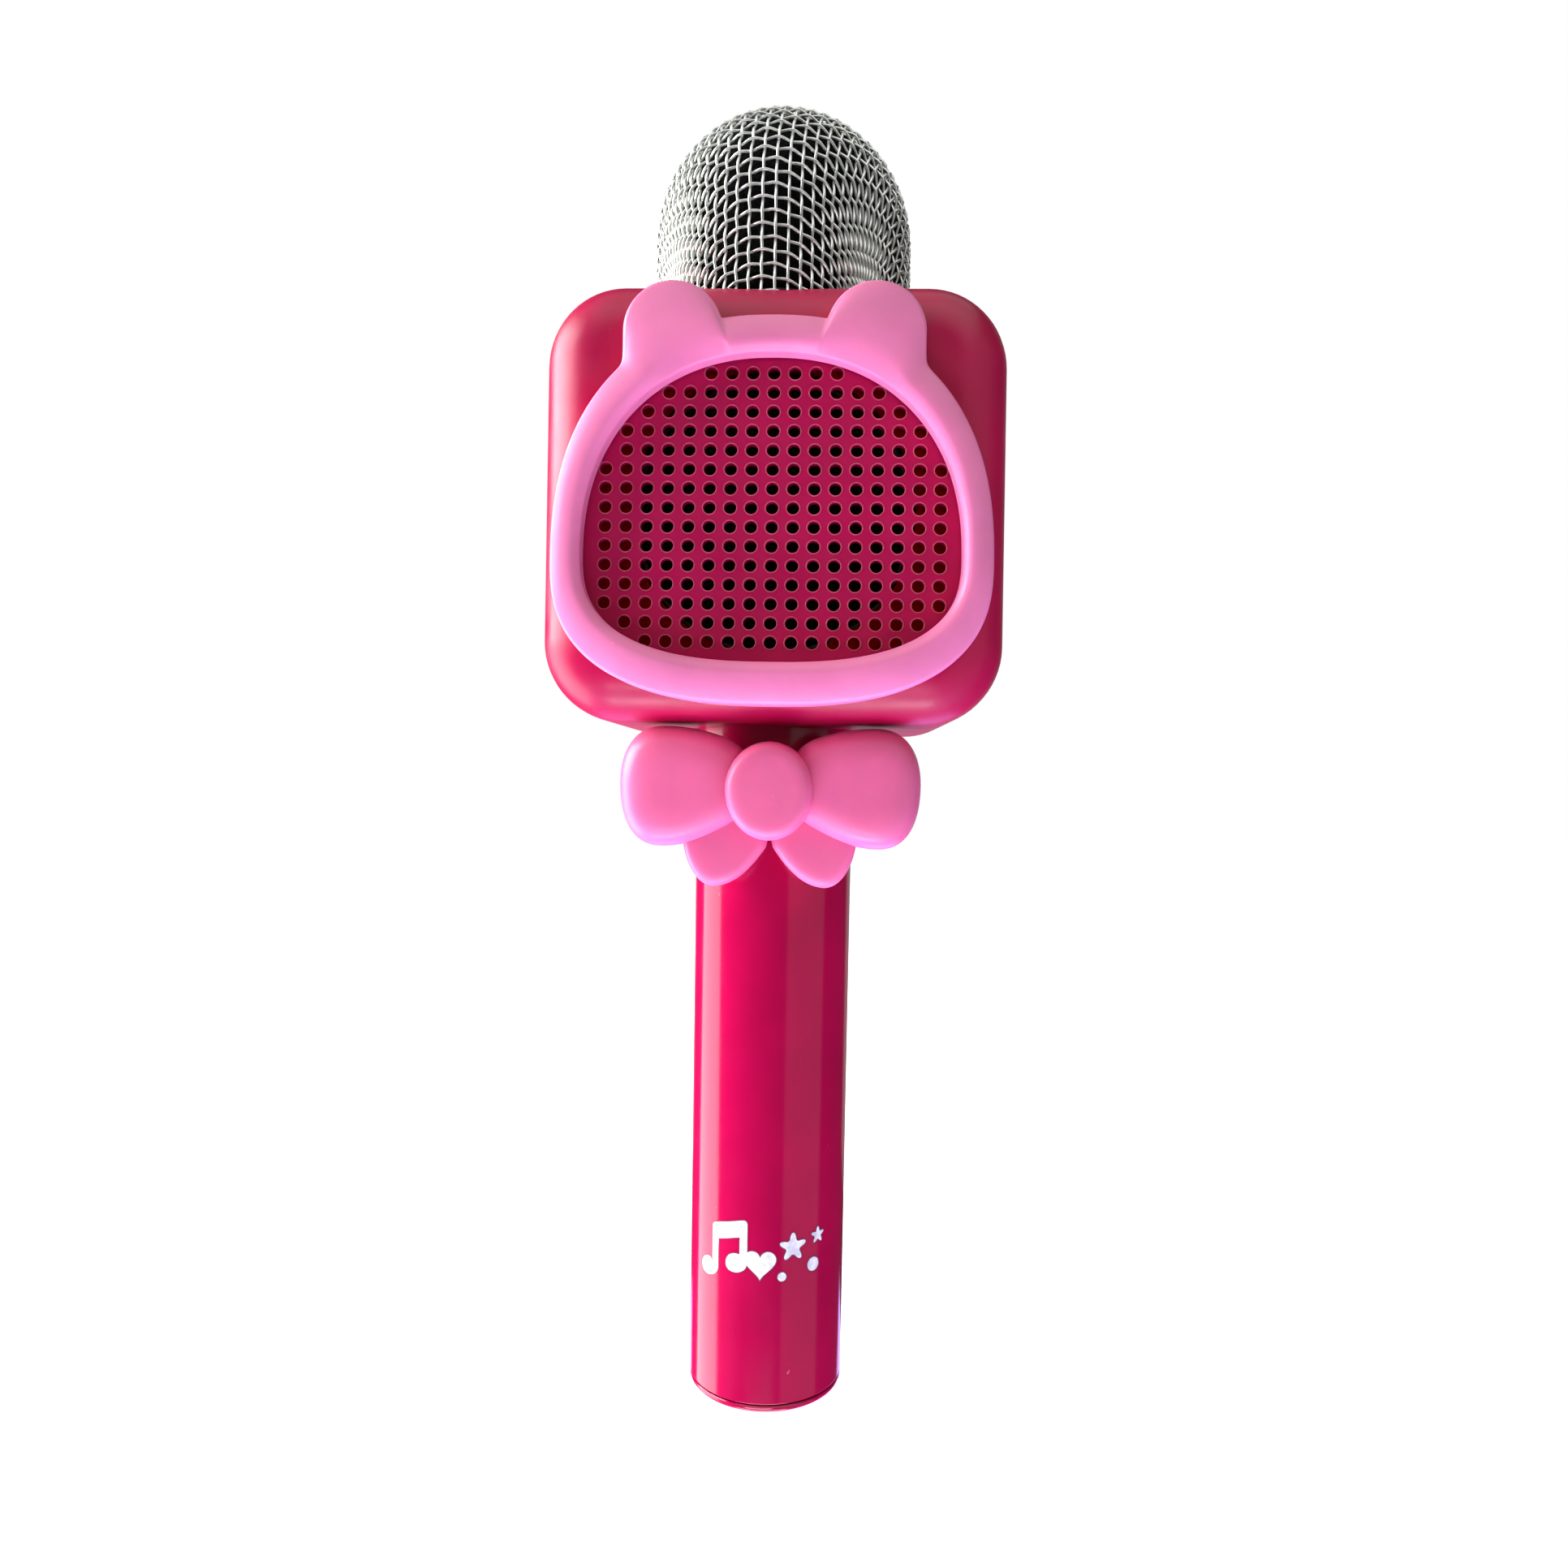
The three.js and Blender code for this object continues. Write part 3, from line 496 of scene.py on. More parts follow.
def make_materials():
    glow = dict(Subsurface_Weight=0.25, Subsurface_Scale=0.0015)
    milky = dict(Subsurface_Weight=0.4, Subsurface_Scale=0.001)
    # The seat's deep, saturated red is painted shade: the recess floor seen through the holes as if in its
    # own shadow.
    plate, seat = (0.42, 0.0012, 0.062), (0.72, 0.0003, 0.006)
    return {
        "casing": moulded("casing_magenta", MAGENTA, WORN_MAGENTA, 0.33, Specular_IOR_Level=0.42),
        "handle": moulded("handle_magenta", MAGENTA, WORN_MAGENTA, 0.12),
        "pink": moulded("ring_pink", PINK, WORN_PINK, 0.34, **glow),
        "bow": moulded("bow_pink", BOW_PINK, WORN_PINK, 0.34, **glow),
        "plate": moulded("plate_magenta", plate, WORN_MAGENTA, 0.42, Specular_IOR_Level=0.25),
        # The hole rims' lighter red is a painted highlight on each rounded lip.
        "rim": moulded("hole_rim_painted_highlight", (0.50, 0.05, 0.10), (0.85, 0.4, 0.5), 0.35),
        "seat": moulded("seat_painted_shade_red", seat, (0.7, 0.01, 0.02), 0.8, Specular_IOR_Level=0.05),
        "wire": wire_material(),
        "foam": foam_material(),
        "print": print_material(),
        "print_edge": moulded("print_outline", (0.16, 0.02, 0.05), (0.3, 0.1, 0.15), 0.4),
        "steel": metal_material("zinc_plate", (0.62, 0.61, 0.58)),
        "black": moulded("black_plastic", (0.012, 0.012, 0.013), (0.1, 0.1, 0.1), 0.45),
        "paper": paper_material(),
        "light": moulded("milky_light", (0.85, 0.86, 0.9), (1, 1, 1), 0.2, **milky),
        "icon": moulded("icon_magenta", (0.6, 0.01, 0.1), (0.8, 0.3, 0.4), 0.35),
    }


def dress_inner_nodes(made):
    """Gives the carried-over CAD nodes, all inside or behind openings, their materials."""
    chosen = {
        "main_board": moulded("green_board", (0.01, 0.10, 0.03), (0.2, 0.4, 0.2), 0.35),
        "voice_coil": metal_material("copper_winding", (0.75, 0.38, 0.2)),
        "battery_cell": moulded("blue_sleeve", (0.03, 0.14, 0.40), (0.4, 0.5, 0.7), 0.3),
        "battery_lead_red": moulded("red_insulation", (0.45, 0.01, 0.01), (0.7, 0.3, 0.3), 0.5),
        "mic_lead": moulded("grey_insulation", (0.22, 0.22, 0.23), (0.5, 0.5, 0.5), 0.5),
        "speaker_cone": made["paper"],
        "dust_cap": made["paper"],
    }
    steel = ("speaker_basket", "speaker_magnet", "usb_socket", "card_socket", "slide_switch", "mic_capsule")
    foam = ("speaker_gasket", "battery_collar_lower", "battery_collar_upper")
    chosen.update({name: made["steel"] for name in steel})
    chosen.update({name: made["foam"] for name in foam})
    for name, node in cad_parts.items():
        other = made["steel"] if "screw" in name else made["black"]
        node.data.materials.clear()
        node.data.materials.append(chosen.get(name, other))


# ---- Head casing ----
def head_outline(inset):
    """The head's rounded rectangle in X and Z, moved inwards."""
    half_x, half_z = HEAD_HALF[0] - inset, HEAD_HALF[2] - inset
    return rounded_rectangle(HEAD_MIDDLE[0], HEAD_MIDDLE[2], half_x, half_z, HEAD_CORNER - inset, 16)


def head_front(x, z):
    """Y of the head's front surface: flat in the middle, rounded towards its outline."""
    over_x = np.abs(x - HEAD_MIDDLE[0]) - (HEAD_HALF[0] - HEAD_CORNER)
    over_z = np.abs(z - HEAD_MIDDLE[2]) - (HEAD_HALF[2] - HEAD_CORNER)
    outside = np.hypot(np.maximum(over_x, 0), np.maximum(over_z, 0))
    inside = np.minimum(np.maximum(over_x, over_z), 0)
    depth = HEAD_CORNER - outside - inside
    short = np.clip(HEAD_EDGE - depth, 0, HEAD_EDGE)
    return FRONT + HEAD_EDGE - np.sqrt(HEAD_EDGE**2 - short**2)


def shell_rings(side, seam):
    """Rings of one casing half: over its face, round its edge, to the seam and back inside."""
    half = (BACK - FRONT) / 2
    edge, lip, inner_edge = quarter(HEAD_EDGE, 15), quarter(SEAM_LIP, 4), quarter(HEAD_EDGE - WALL, 6)
    stations = [(HEAD_EDGE + 1.2, side * half)]
    stations += [(inset, side * (half - fall)) for inset, fall in reversed(edge)]
    stations += [(inset, seam + side * fall) for inset, fall in lip]
    stations += [(WALL, seam)]
    stations += [(WALL + inset, side * (half - WALL - fall)) for inset, fall in inner_edge]
    return [at_y(head_outline(inset), y) for inset, y in stations]


def head_hole():
    """Cutter for the round opening in the top that the wire dome stands in."""
    return drill(HEAD_HOLE, 186, 210, sides=128, axis="z")


def neck_hole():
    """Cutter for the round opening in the bottom for the handle, with a softened edge."""
    radius, edge = HANDLE_NECK_RADIUS + GAP, 0.4
    outside, inside = HEAD_LOW[2] - 3, HEAD_LOW[2] + 8
    flared = radius + edge + 3
    profile = [(0, outside), (flared, outside), (radius, HEAD_LOW[2] + edge), (radius, inside), (0, inside)]
    return turned("hole", profile)


def speaker_opening():
    """Cutter for the round opening behind the perforated plate."""
    return drill(SPEAKER_OPENING, -40, -20, (0, 0, SPEAKER_Z))


def window_plate(name, margin, y_front, y_back, material=None):
    """A flat plate in the window's outline."""
    outline = face_outline(WINDOW, margin=margin)
    return loft(name, [at_y(outline, y) for y in (y_front, y_back)], material)


def port_cutter(node):
    """Cutter for a socket's opening in the casing's side, with a mouth that widens."""
    low, high = node_box(node)
    (y, z), (half_y, half_z) = (low[1:] + high[1:]) / 2, (high[1:] - low[1:]) / 2 + GAP
    side, flare, inside, beyond = HEAD_HIGH[0], 0.5, 30, 2
    rings = []
    for x, grow in ((inside, 0), (side - flare, 0), (side, flare), (side + beyond, flare + beyond)):
        rings.append(at_x(rounded_rectangle(y, z, half_y + grow, half_z + grow, 0.5), x))
    return loft("port", rings)


def make_front_shell(made):
    """The front half, and the flat seat behind the perforated plate."""
    shell = loft("front_casing", shell_rings(-1, SEAM_Y - GAP / 2), made["casing"])
    window = window_plate("recess", SEAT_MARGIN, FRONT - 3, SEAT_Y)
    cut(shell, head_hole(), neck_hole(), window, speaker_opening())
    placed(shell, "magenta_gloss", "front_shell", sharp=38)

    # The seat's deep red is painted shade for the recess seen through the holes.
    seat = window_plate("grille_seat", SEAT_MARGIN, SEAT_Y, SEAT_Y + SEAT_THICKNESS, made["seat"])
    cut(seat, speaker_opening())
    placed(seat, "magenta_gloss", sharp=38)


def make_rear_shell(made):
    """The rear half, with a recess for the panel, wells for the screws and ports in its side."""
    shell = loft("rear_casing", shell_rings(1, SEAM_Y + GAP / 2), made["casing"])
    mouth = 0.4
    narrow, wide = face_outline(PANEL, margin=GAP), face_outline(PANEL, margin=GAP + mouth)
    stations = ((narrow, BACK - 6), (narrow, BACK - mouth), (wide, BACK), (wide, BACK + 3))
    recess = loft("recess", [at_y(outline, y) for outline, y in stations])
    wells = []
    for name in SCREW_NAMES:
        centre, flare = facing_part(name)[0], ((0.4, 0.4), (0.8, 2.6))
        wells.append(drill(WELL_RADIUS, WELL_FLOOR, BACK - 1.6, centre, 40, mouth=flare))
    ports = [port_cutter(node) for node in ("usb_socket", "card_socket")]
    cut(shell, head_hole(), neck_hole(), recess, *wells, *ports)
    placed(shell, "magenta_gloss", "rear_shell", sharp=38)


def make_screws(made):
    """Pan heads with a cross recess, down in the rear casing's wells."""
    shank, length, head, dome = 1.1, 12, 1.8, 0.8
    arm_long, arm_short, arm_depth, arm_taper = 1.5, 0.32, 1.2, 0.6
    for name in SCREW_NAMES:
        centre, radius, _, top = facing_part(name)
        profile = [(0, top - length), (shank, top - length), (shank, top - head), (radius, top - head)]
        profile += [(radius - inset, top - fall) for inset, fall in quarter(dome, 6)]
        profile += [(0, top)]
        screw = turned(name + "_head", profile, made["steel"], "y", centre, 40)
        arms = []
        for half_x, half_z in ((arm_long, arm_short), (arm_short, arm_long)):
            rings = []
            for y, shrink in ((top - arm_depth, arm_taper), (top + 0.5, 1.0)):
                ring = rounded_rectangle(centre[0], centre[2], half_x * shrink, half_z * shrink, 0.1, 2)
                rings.append(at_y(ring, y))
            arms.append(loft("arm", rings))
        cut(screw, *arms)
        placed(screw, "plated_steel", name, sharp=30)


# ---- Speaker window ----
def make_grille(made):
    """The perforated plate: a grid of round holes, each with a rounded mouth."""
    reach = face_outline(WINDOW, 90, 0.2)
    places = []
    for row in range(16):
        for column in range(-8, 9):
            x, z = column * PITCH_X, HOLE_TOP_ROW - row * PITCH_Z
            if inside_outline(x, z, reach):
                places.append((x, 0, z))
    plate = window_plate("perforated_plate", 1.7, GRILLE_FACE, GRILLE_BACK, made["plate"])
    hole = drill(HOLE_RADIUS, GRILLE_FACE - 1, GRILLE_BACK + 1, sides=HOLE_SIDES)
    cut(plate, copies(hole, places))
    placed(plate, "magenta_gloss", "speaker_grille", sharp=30)
    rims = copies(hole_lip(), places)
    # The lips' lighter red is a painted highlight on each hole's rim.
    rims.data.materials.append(made["rim"])
    placed(rims, "magenta_gloss")


def hole_lip():
    """A low round lip that stands up around one hole."""
    rings = []
    for turn in np.linspace(-0.15 * math.pi, 1.15 * math.pi, 5):
        radius = HOLE_RADIUS + HOLE_LIP - HOLE_LIP * math.cos(turn)
        y = GRILLE_FACE - 0.7 * HOLE_LIP * math.sin(turn)
        rings.append(at_y(oval(0, 0, radius, radius, HOLE_SIDES), y))
    faces = strip_faces(len(rings), HOLE_SIDES)
    return outwards(piece_from("hole_lip", np.concatenate(rings), faces, None))


def reach_of(face, angles):
    """How far a face's outline is from the ring's centre at some angles."""
    away = face_outline(face, 4000) - np.array([0, RING_CENTRE_Z])
    turn = np.unwrap(np.arctan2(away[:, 1], away[:, 0]))
    return np.interp(angles, turn, np.hypot(away[:, 0], away[:, 1]), period=2 * math.pi)


def ring_radius(angles):
    """How far the ring's outer edge is from its centre: the rim, and the ears that stand out of it."""
    radius = reach_of(RIM, angles)
    direction = np.stack([np.cos(angles), np.sin(angles)], axis=1)
    blend = 0.45
    for side in (-1, 1):
        ear = np.array([side * EAR["x"], EAR["z"] - RING_CENTRE_Z])
        along = direction @ ear
        missing = ear @ ear - along**2
        chord = np.sqrt(np.maximum(EAR["radius"] ** 2 - missing, 0))
        round_top = np.where(missing < EAR["radius"] ** 2, along + chord, 0)
        with np.errstate(divide="ignore"):
            flank = side * (EAR["x"] + EAR["radius"]) / direction[:, 0]
        height = flank * direction[:, 1]
        on_flank = (direction[:, 0] * side > 0) & (height > 0) & (height < ear[1])
        ear_radius = np.maximum(round_top, np.where(on_flank, flank, 0))
        radius = blend * np.logaddexp(radius / blend, ear_radius / blend)
    return radius


def make_face_ring(made):
    """The eared ring: a slightly crowned face with rounded edges, its back fitted to the head."""
    count = 720
    angles = circle(count)
    outer_reach, inner_reach = ring_radius(angles), reach_of(WINDOW, angles)
    outer = oval(0, RING_CENTRE_Z, outer_reach, outer_reach, count)
    inner = oval(0, RING_CENTRE_Z, inner_reach, inner_reach, count)
    out_normal, in_normal = outline_normals(outer), -outline_normals(inner)

    # The face is an arch, highest nearer the window; each edge arc ends at the arch's own slope.
    round_out, round_in, crown, peak = 1.0, 0.7, 0.95, 0.7
    width = np.linalg.norm(outer - inner, axis=1)
    slope_out = np.arctan(2 * crown / (peak * width))
    slope_in = np.arctan(2 * crown / ((1 - peak) * width))
    foot = RING_FRONT + crown

    def edge_rings(outline, normal, radius, slope, shares):
        """Rings round an edge arc, from the side of the ring at 0 to its face at 1."""
        made_rings = []
        for share in shares:
            turn = share * (math.pi / 2 - slope)
            inset = radius * (1 - np.cos(turn))
            fall = radius * (np.cos(slope) - np.sin(turn))
            made_rings.append(at_y(outline - inset[:, None] * normal, foot + fall))
        return made_rings

    start = outer - (round_out * (1 - np.sin(slope_out)))[:, None] * out_normal
    end = inner - (round_in * (1 - np.sin(slope_in)))[:, None] * in_normal
    rings = [at_y(outer, head_front(outer[:, 0], outer[:, 1]) - GAP)]
    rings += edge_rings(outer, out_normal, round_out, slope_out, np.linspace(0, 1, 9))
    for share in np.linspace(0, 1, 20)[1:-1]:
        side = peak if share < peak else 1 - peak
        rise = crown * (1 - ((share - peak) / side) ** 2)
        rings.append(at_y(start + share * (end - start), foot - rise))
    rings += edge_rings(inner, in_normal, round_in, slope_in, np.linspace(1, 0, 8))
    rings.append(at_y(inner, head_front(inner[:, 0], inner[:, 1]) - GAP))

    faces = strip_faces(len(rings), count)
    last = (len(rings) - 1) * count
    faces += [(last + k, last + (k + 1) % count, (k + 1) % count, k) for k in range(count)]
    ring = outwards(piece_from("eared_ring", np.concatenate(rings), faces, made["pink"]))
    placed(ring, "pink_gloss", "face_ring", sharp=60)


# ---- Bow ----
def cushion(outline, centre, front, back, edge_power, round_power=2.0):
    """A closed puffed form over an outline, as points and faces; its rim is halfway back."""
    count = 128
    outline = evenly(outline, count)
    centre = np.array(centre, float)
    middle, half = (front + back) / 2, (back - front) / 2
    shares = np.sin(np.linspace(0, math.pi / 2, 18))
    rings = []
    for facing, ordered in ((-1, shares[1:]), (1, shares[::-1][1:-1])):
        for share in ordered:
            puff = (1 - share**edge_power) ** (1 / round_power)
            rings.append(at_y(centre + share * (outline - centre), middle + facing * half * puff))
    tips = [[[centre[0], y, centre[1]]] for y in (front, back)]
    faces = strip_faces(len(rings), count)
    total = len(rings) * count
    for tip, first in ((total, 0), (total + 1, total - count)):
        faces += [(tip, first + k, first + (k + 1) % count) for k in range(count)]
    return np.concatenate(rings + tips), faces


def merged(name, parts, material):
    """One object from several closed forms."""
    return outwards(piece_from(name, *joined(parts), material))


def bow_side(side):
    """A puffed loop and a pointed tail with soft edges."""
    def at(x, z):
        return (side * x, BOW_Z + z)

    loop = bezier(at(3.0, 0.8), [
        (at(3.0, 4.4), at(4.0, 7.0), at(7.2, 8.7)),
        (at(10.6, 10.2), at(14.6, 10.9), at(18.6, 10.9)),
        (at(23.8, 10.9), at(26.3, 6.7), at(26.3, 1.0)),
        (at(26.3, -5.4), at(24.2, -10.1), at(19.2, -10.2)),
        (at(14.4, -10.3), at(10.5, -8.2), at(7.2, -6.4)),
        (at(4.4, -4.8), at(3.0, -3.2), at(3.0, 0.8)),
    ])
    tail = bezier(at(0.3, -4.5), [
        (at(0.2, -7), at(0.2, -9), at(0.6, -10.2)),
        (at(2.6, -13.2), at(5.6, -17.1), at(9.8, -17.2)),
        (at(12.8, -17.1), at(14.9, -13.2), at(15.3, -9.2)),
        (at(14.2, -6), at(10, -3.2), at(6, -3)),
        (at(4, -3), at(2, -3.4), at(0.3, -4.5)),
    ])
    return [
        cushion(loop, at(15.8, 0.3), BOW_FRONT, BOW_BACK, 5.5),
        cushion(tail, at(8.4, -9.6), TAIL_FRONT, TAIL_BACK, 10.0),
    ]


def make_bow(made):
    """Both sides of the bow, and the oval knot over them."""
    bow = merged("bow_loops_and_tails", bow_side(-1) + bow_side(1), made["bow"])
    placed(bow, "pink_gloss", "bow", sharp=60)

    count = 128
    half_height = np.where(np.sin(circle(count)) > 0, 8.3, 8.8)
    outline = oval(0, BOW_Z, 7.65, half_height, count)
    form = cushion(outline, (0, BOW_Z), KNOT_FRONT, KNOT_BACK, 12.0, 2.2)
    knot = merged("bow_knot_button", [form], made["bow"])
    placed(knot, "pink_gloss", "bow_knot", sharp=60)


# ---- Handle ----
def handle_radius(z):
    share = (z - HANDLE_LOW[2]) / (NECK_Z - HANDLE_LOW[2])
    return HANDLE_FOOT_RADIUS + share * (HANDLE_NECK_RADIUS - HANDLE_FOOT_RADIUS)


def make_handle(made):
    """The tapered barrel, from its end cap to inside the head."""
    low, lip, overlap = HANDLE_LOW[2], 0.25, 5
    profile = [(0, low + 6), (HANDLE_BORE, low + 6), (HANDLE_BORE, low)]
    profile += [(HANDLE_FOOT_RADIUS - inset, low + fall) for inset, fall in reversed(quarter(lip, 5))]
    profile += [(handle_radius(z), z) for z in np.linspace(low + lip, NECK_Z, 12)[1:]]
    profile += [(HANDLE_NECK_RADIUS, NECK_Z + overlap), (0, NECK_Z + overlap)]
    tube = turned("handle_barrel", profile, made["handle"], sides=160)
    placed(tube, "magenta_gloss", "handle_tube", sharp=38)


def make_end_cap(made):
    """A cap with a rounded foot, a hairline shadow gap above it and a plug up into the barrel."""
    low = node_box("end_cap")[0][2]
    top, plug_top = HANDLE_LOW[2] - GAP, HANDLE_LOW[2] - GAP + 4
    radius, sole, chamfer, relief = HANDLE_FOOT_RADIUS - 0.05, 13.3, 0.15, 0.06
    profile = [(0, low), (sole, low), (sole + 0.4, low + relief)]
    for inset, fall in reversed(quarter(0.75, 6)[:-1]):
        profile.append((radius - 0.8 * inset, low + relief + fall))
    profile += [(radius, top - chamfer), (radius - chamfer, top)]
    profile += [(HANDLE_BORE, top), (HANDLE_BORE, plug_top), (0, plug_top)]
    cap = turned("handle_end_cap", profile, made["handle"], sides=160)
    placed(cap, "magenta_gloss", "end_cap", sharp=38)


# ---- Printed mark: generic notes, a heart, two stars and two dots ----
def star(x, z, radius):
    """A five-pointed star with soft points."""
    count = 100
    wave = 0.5 + 0.5 * np.cos(5 * (circle(count) - math.pi / 2))
    reach = radius * (0.52 + 0.48 * wave**1.6)
    return oval(x, z, reach, reach, count)


def heart(x, z, size):
    t = circle(80)[::-1]
    across = 16 * np.sin(t) ** 3
    up = 13 * np.cos(t) - 5 * np.cos(2 * t) - 2 * np.cos(3 * t) - np.cos(4 * t)
    return np.stack([x + size * across / 16, z + size * up / 16], axis=1)


def beamed_notes(x, z, size):
    """Two notes joined by a slanting beam, as one outline."""
    points = bezier((1.35, -2.2), [
        ((1.35, 0), (1.35, 1), (1.35, 3.2)),
        ((1.35, 3.7), (1.6, 3.9), (2.0, 4.0)),
        ((3.6, 4.4), (5.2, 4.8), (6.6, 5.1)),
        ((7.1, 5.2), (7.35, 4.9), (7.35, 4.4)),
        ((7.35, 2), (7.35, 0), (7.35, -1.2)),
        ((7.3, -3.0), (3.9, -3.3), (3.9, -1.6)),
        ((3.9, -0.2), (5.2, 0.3), (6.2, 0.0)),
        ((6.2, 1), (6.2, 1.8), (6.2, 2.6)),
        ((5, 2.3), (3.7, 2.0), (2.5, 1.7)),
        ((2.5, 0), (2.5, -1), (2.5, -2.6)),
        ((2.4, -4.5), (-1.1, -4.9), (-1.1, -3.1)),
        ((-1.1, -1.8), (0.3, -1.3), (1.35, -1.6)),
    ], 8)
    return np.array([x, z]) + size * (points - np.array([3.1, 0.2]))


def grown(outline, margin):
    """An outline moved outwards all round."""
    x, z = outline.T
    area = np.sum(x * np.roll(z, -1) - np.roll(x, -1) * z)
    if area < 0:
        outline = outline[::-1]
    return outline + margin * outline_normals(outline)


def wrapped_sheet(outline, height):
    """A filled outline laid on the handle, a little proud of it."""
    spacing = 0.6
    low, high = outline.min(axis=0), outline.max(axis=0)
    across, up = (np.arange(low[k] + spacing / 2, high[k], spacing) for k in range(2))
    up = list(up)
    grid = [Vector((x, z)) for x in across for z in up if inside_outline(x, z, outline)]
    corners = [Vector(p) for p in outline.tolist()] + grid
    count = len(outline)
    edges = [(k, (k + 1) % count) for k in range(count)]
    points, _, faces, *_ = delaunay_2d_cdt(corners, edges, [list(range(count))], 1, 1e-5)
    wrapped = []
    for x, z in points:
        radius = handle_radius(z) + height
        wrapped.append((radius * math.sin(x / radius), -radius * math.cos(x / radius), z))
    return np.array(wrapped), [tuple(f) for f in faces]


def make_print(made):
    """Pad print on the handle's front: a thin dark edge under white shapes."""
    shapes = [
        beamed_notes(-8.2, PRINT_Z + 0.3, 1.22),
        heart(-0.6, PRINT_Z - 1.2, 2.9),
        star(5.4, PRINT_Z + 1.6, 2.6),
        oval(9.6, PRINT_Z - 2.2, 1.25, 1.25),
        star(10.6, PRINT_Z + 2.9, 1.5),
        oval(3.4, PRINT_Z - 3.6, 0.8, 0.8),
    ]
    for name, margin, height, material in (
        ("print_edge", 0.17, 0.02, made["print_edge"]),
        ("print_white", 0.0, 0.04, made["print"]),
    ):
        sheets = [wrapped_sheet(grown(shape, margin), height) for shape in shapes]
        placed(piece_from(name, *joined(sheets), material), "printed_mark")


# ---- Wire head ----
def weave_quadrant(radius, pitch, bottom):
    """One quarter of a net of equal-sided cells laid over the dome and its skirt."""
    arc = math.pi * radius / 2
    size = int((arc + DOME_CENTRE - bottom) / pitch) + 2
    net = np.full((size, size, 3), np.nan)
    for k in range(size):
        s = k * pitch
        across, height = radius, DOME_CENTRE - (s - arc)
        if s < arc:
            across, height = radius * math.sin(s / radius), DOME_CENTRE + radius * math.cos(s / radius)
        net[k, 0] = (across, 0, height)
        net[0, k] = (0, across, height)
    for i in range(1, size):
        for j in range(1, size):
            net[i, j] = next_crossing(net[i - 1, j], net[i, j - 1], net[i - 1, j - 1], radius, pitch)
            if not net[i, j, 2] > bottom - 2 * pitch:
                net[i, j] = np.nan
    return net


def next_crossing(first, second, behind, radius, pitch):
    """The point one pitch from two neighbours, on the dome, away from the point behind them."""
    nowhere = np.full(3, np.nan)
    point = first + second - behind
    if np.isnan(point).any():
        return nowhere
    for _ in range(12):
        out = point - np.array([0, 0, min(point[2], DOME_CENTRE)])
        errors = np.array([
            (point - first) @ (point - first) - pitch**2,
            (point - second) @ (point - second) - pitch**2,
            out @ out - radius**2,
        ])
        slopes = 2 * np.array([point - first, point - second, out])
        try:
            step = np.linalg.solve(slopes, errors)
        except np.linalg.LinAlgError:
            return nowhere
        length = np.linalg.norm(step)
        point = point - step * min(1, 0.8 * pitch / max(length, 1e-9))
    return nowhere if abs(errors).max() > 0.05 * pitch**2 else point


def dome_normal(points):
    """Directions straight out of the dome and its skirt."""
    centres = np.zeros_like(points)
    centres[:, 2] = np.minimum(points[:, 2], DOME_CENTRE)
    out = points - centres
    return out / np.linalg.norm(out, axis=1, keepdims=True)


def smooth_line(points, steps):
    """A Catmull-Rom curve through points."""
    padded = np.concatenate([[2 * points[0] - points[1]], points, [2 * points[-1] - points[-2]]])
    line = []
    for k in range(1, len(padded) - 2):
        a, b, c, d = padded[k - 1 : k + 3]
        bend, twist = 2 * a - 5 * b + 4 * c - d, 3 * b - a - 3 * c + d
        for t in np.linspace(0, 1, steps, endpoint=False):
            line.append(0.5 * (2 * b + (c - a) * t + bend * t**2 + twist * t**3))
    line.append(points[-1])
    return np.array(line)


def wire_tube(points, radius):
    """A tube of points and faces along a line on the dome."""
    sides = 8
    along = np.gradient(points, axis=0)
    along /= np.linalg.norm(along, axis=1, keepdims=True)
    out = dome_normal(points)
    out -= along * np.sum(out * along, axis=1, keepdims=True)
    out /= np.linalg.norm(out, axis=1, keepdims=True)
    beside = np.cross(along, out)
    c, s = np.cos(circle(sides))[None, :, None], np.sin(circle(sides))[None, :, None]
    rings = points[:, None] + radius * (c * out[:, None] + s * beside[:, None])
    return rings.reshape(-1, 3), capped_faces(len(points), sides)


def runs(mask):
    """Start and end of each stretch of true values."""
    edges = np.flatnonzero(np.diff(np.concatenate([[0], mask.astype(int), [0]])))
    return list(zip(edges[::2], edges[1::2]))


def make_wire_head(made):
    """Wire cloth pressed into a dome: square cells down the front, sheared ones at the diagonals."""
    bottom = DOME_LOW[2] + 1
    quadrant = weave_quadrant(DOME_RADIUS - CRIMP - WIRE, WEAVE_PITCH, bottom)
    size = quadrant.shape[0]
    span = 2 * size - 1
    net = np.full((span, span, 3), np.nan)
    for i in range(span):
        for j in range(span):
            a, b = i - size + 1, j - size + 1
            net[i, j] = quadrant[abs(a), abs(b)] * np.array([np.sign(a) or 1, np.sign(b) or 1, 1])
    turn = np.array(Matrix.Rotation(math.radians(WEAVE_TURN), 3, "Z"))
    wires = []
    for family, lines in enumerate((net, net.transpose(1, 0, 2))):
        for i in range(span):
            for first, last in runs(~np.isnan(lines[i, :, 0]) & (lines[i, :, 2] > bottom)):
                crossings = lines[i, first:last]
                if len(crossings) < 2:
                    continue
                over = (-1.0) ** (np.arange(first, last) + i + family)
                crimped = crossings + CRIMP * over[:, None] * dome_normal(crossings)
                wires.append(wire_tube(smooth_line(crimped, 4) @ turn.T, WIRE))
    cloth = piece_from("woven_wire_dome", *joined(wires), made["wire"])
    placed(cloth, "wire_steel", "mesh_grille")


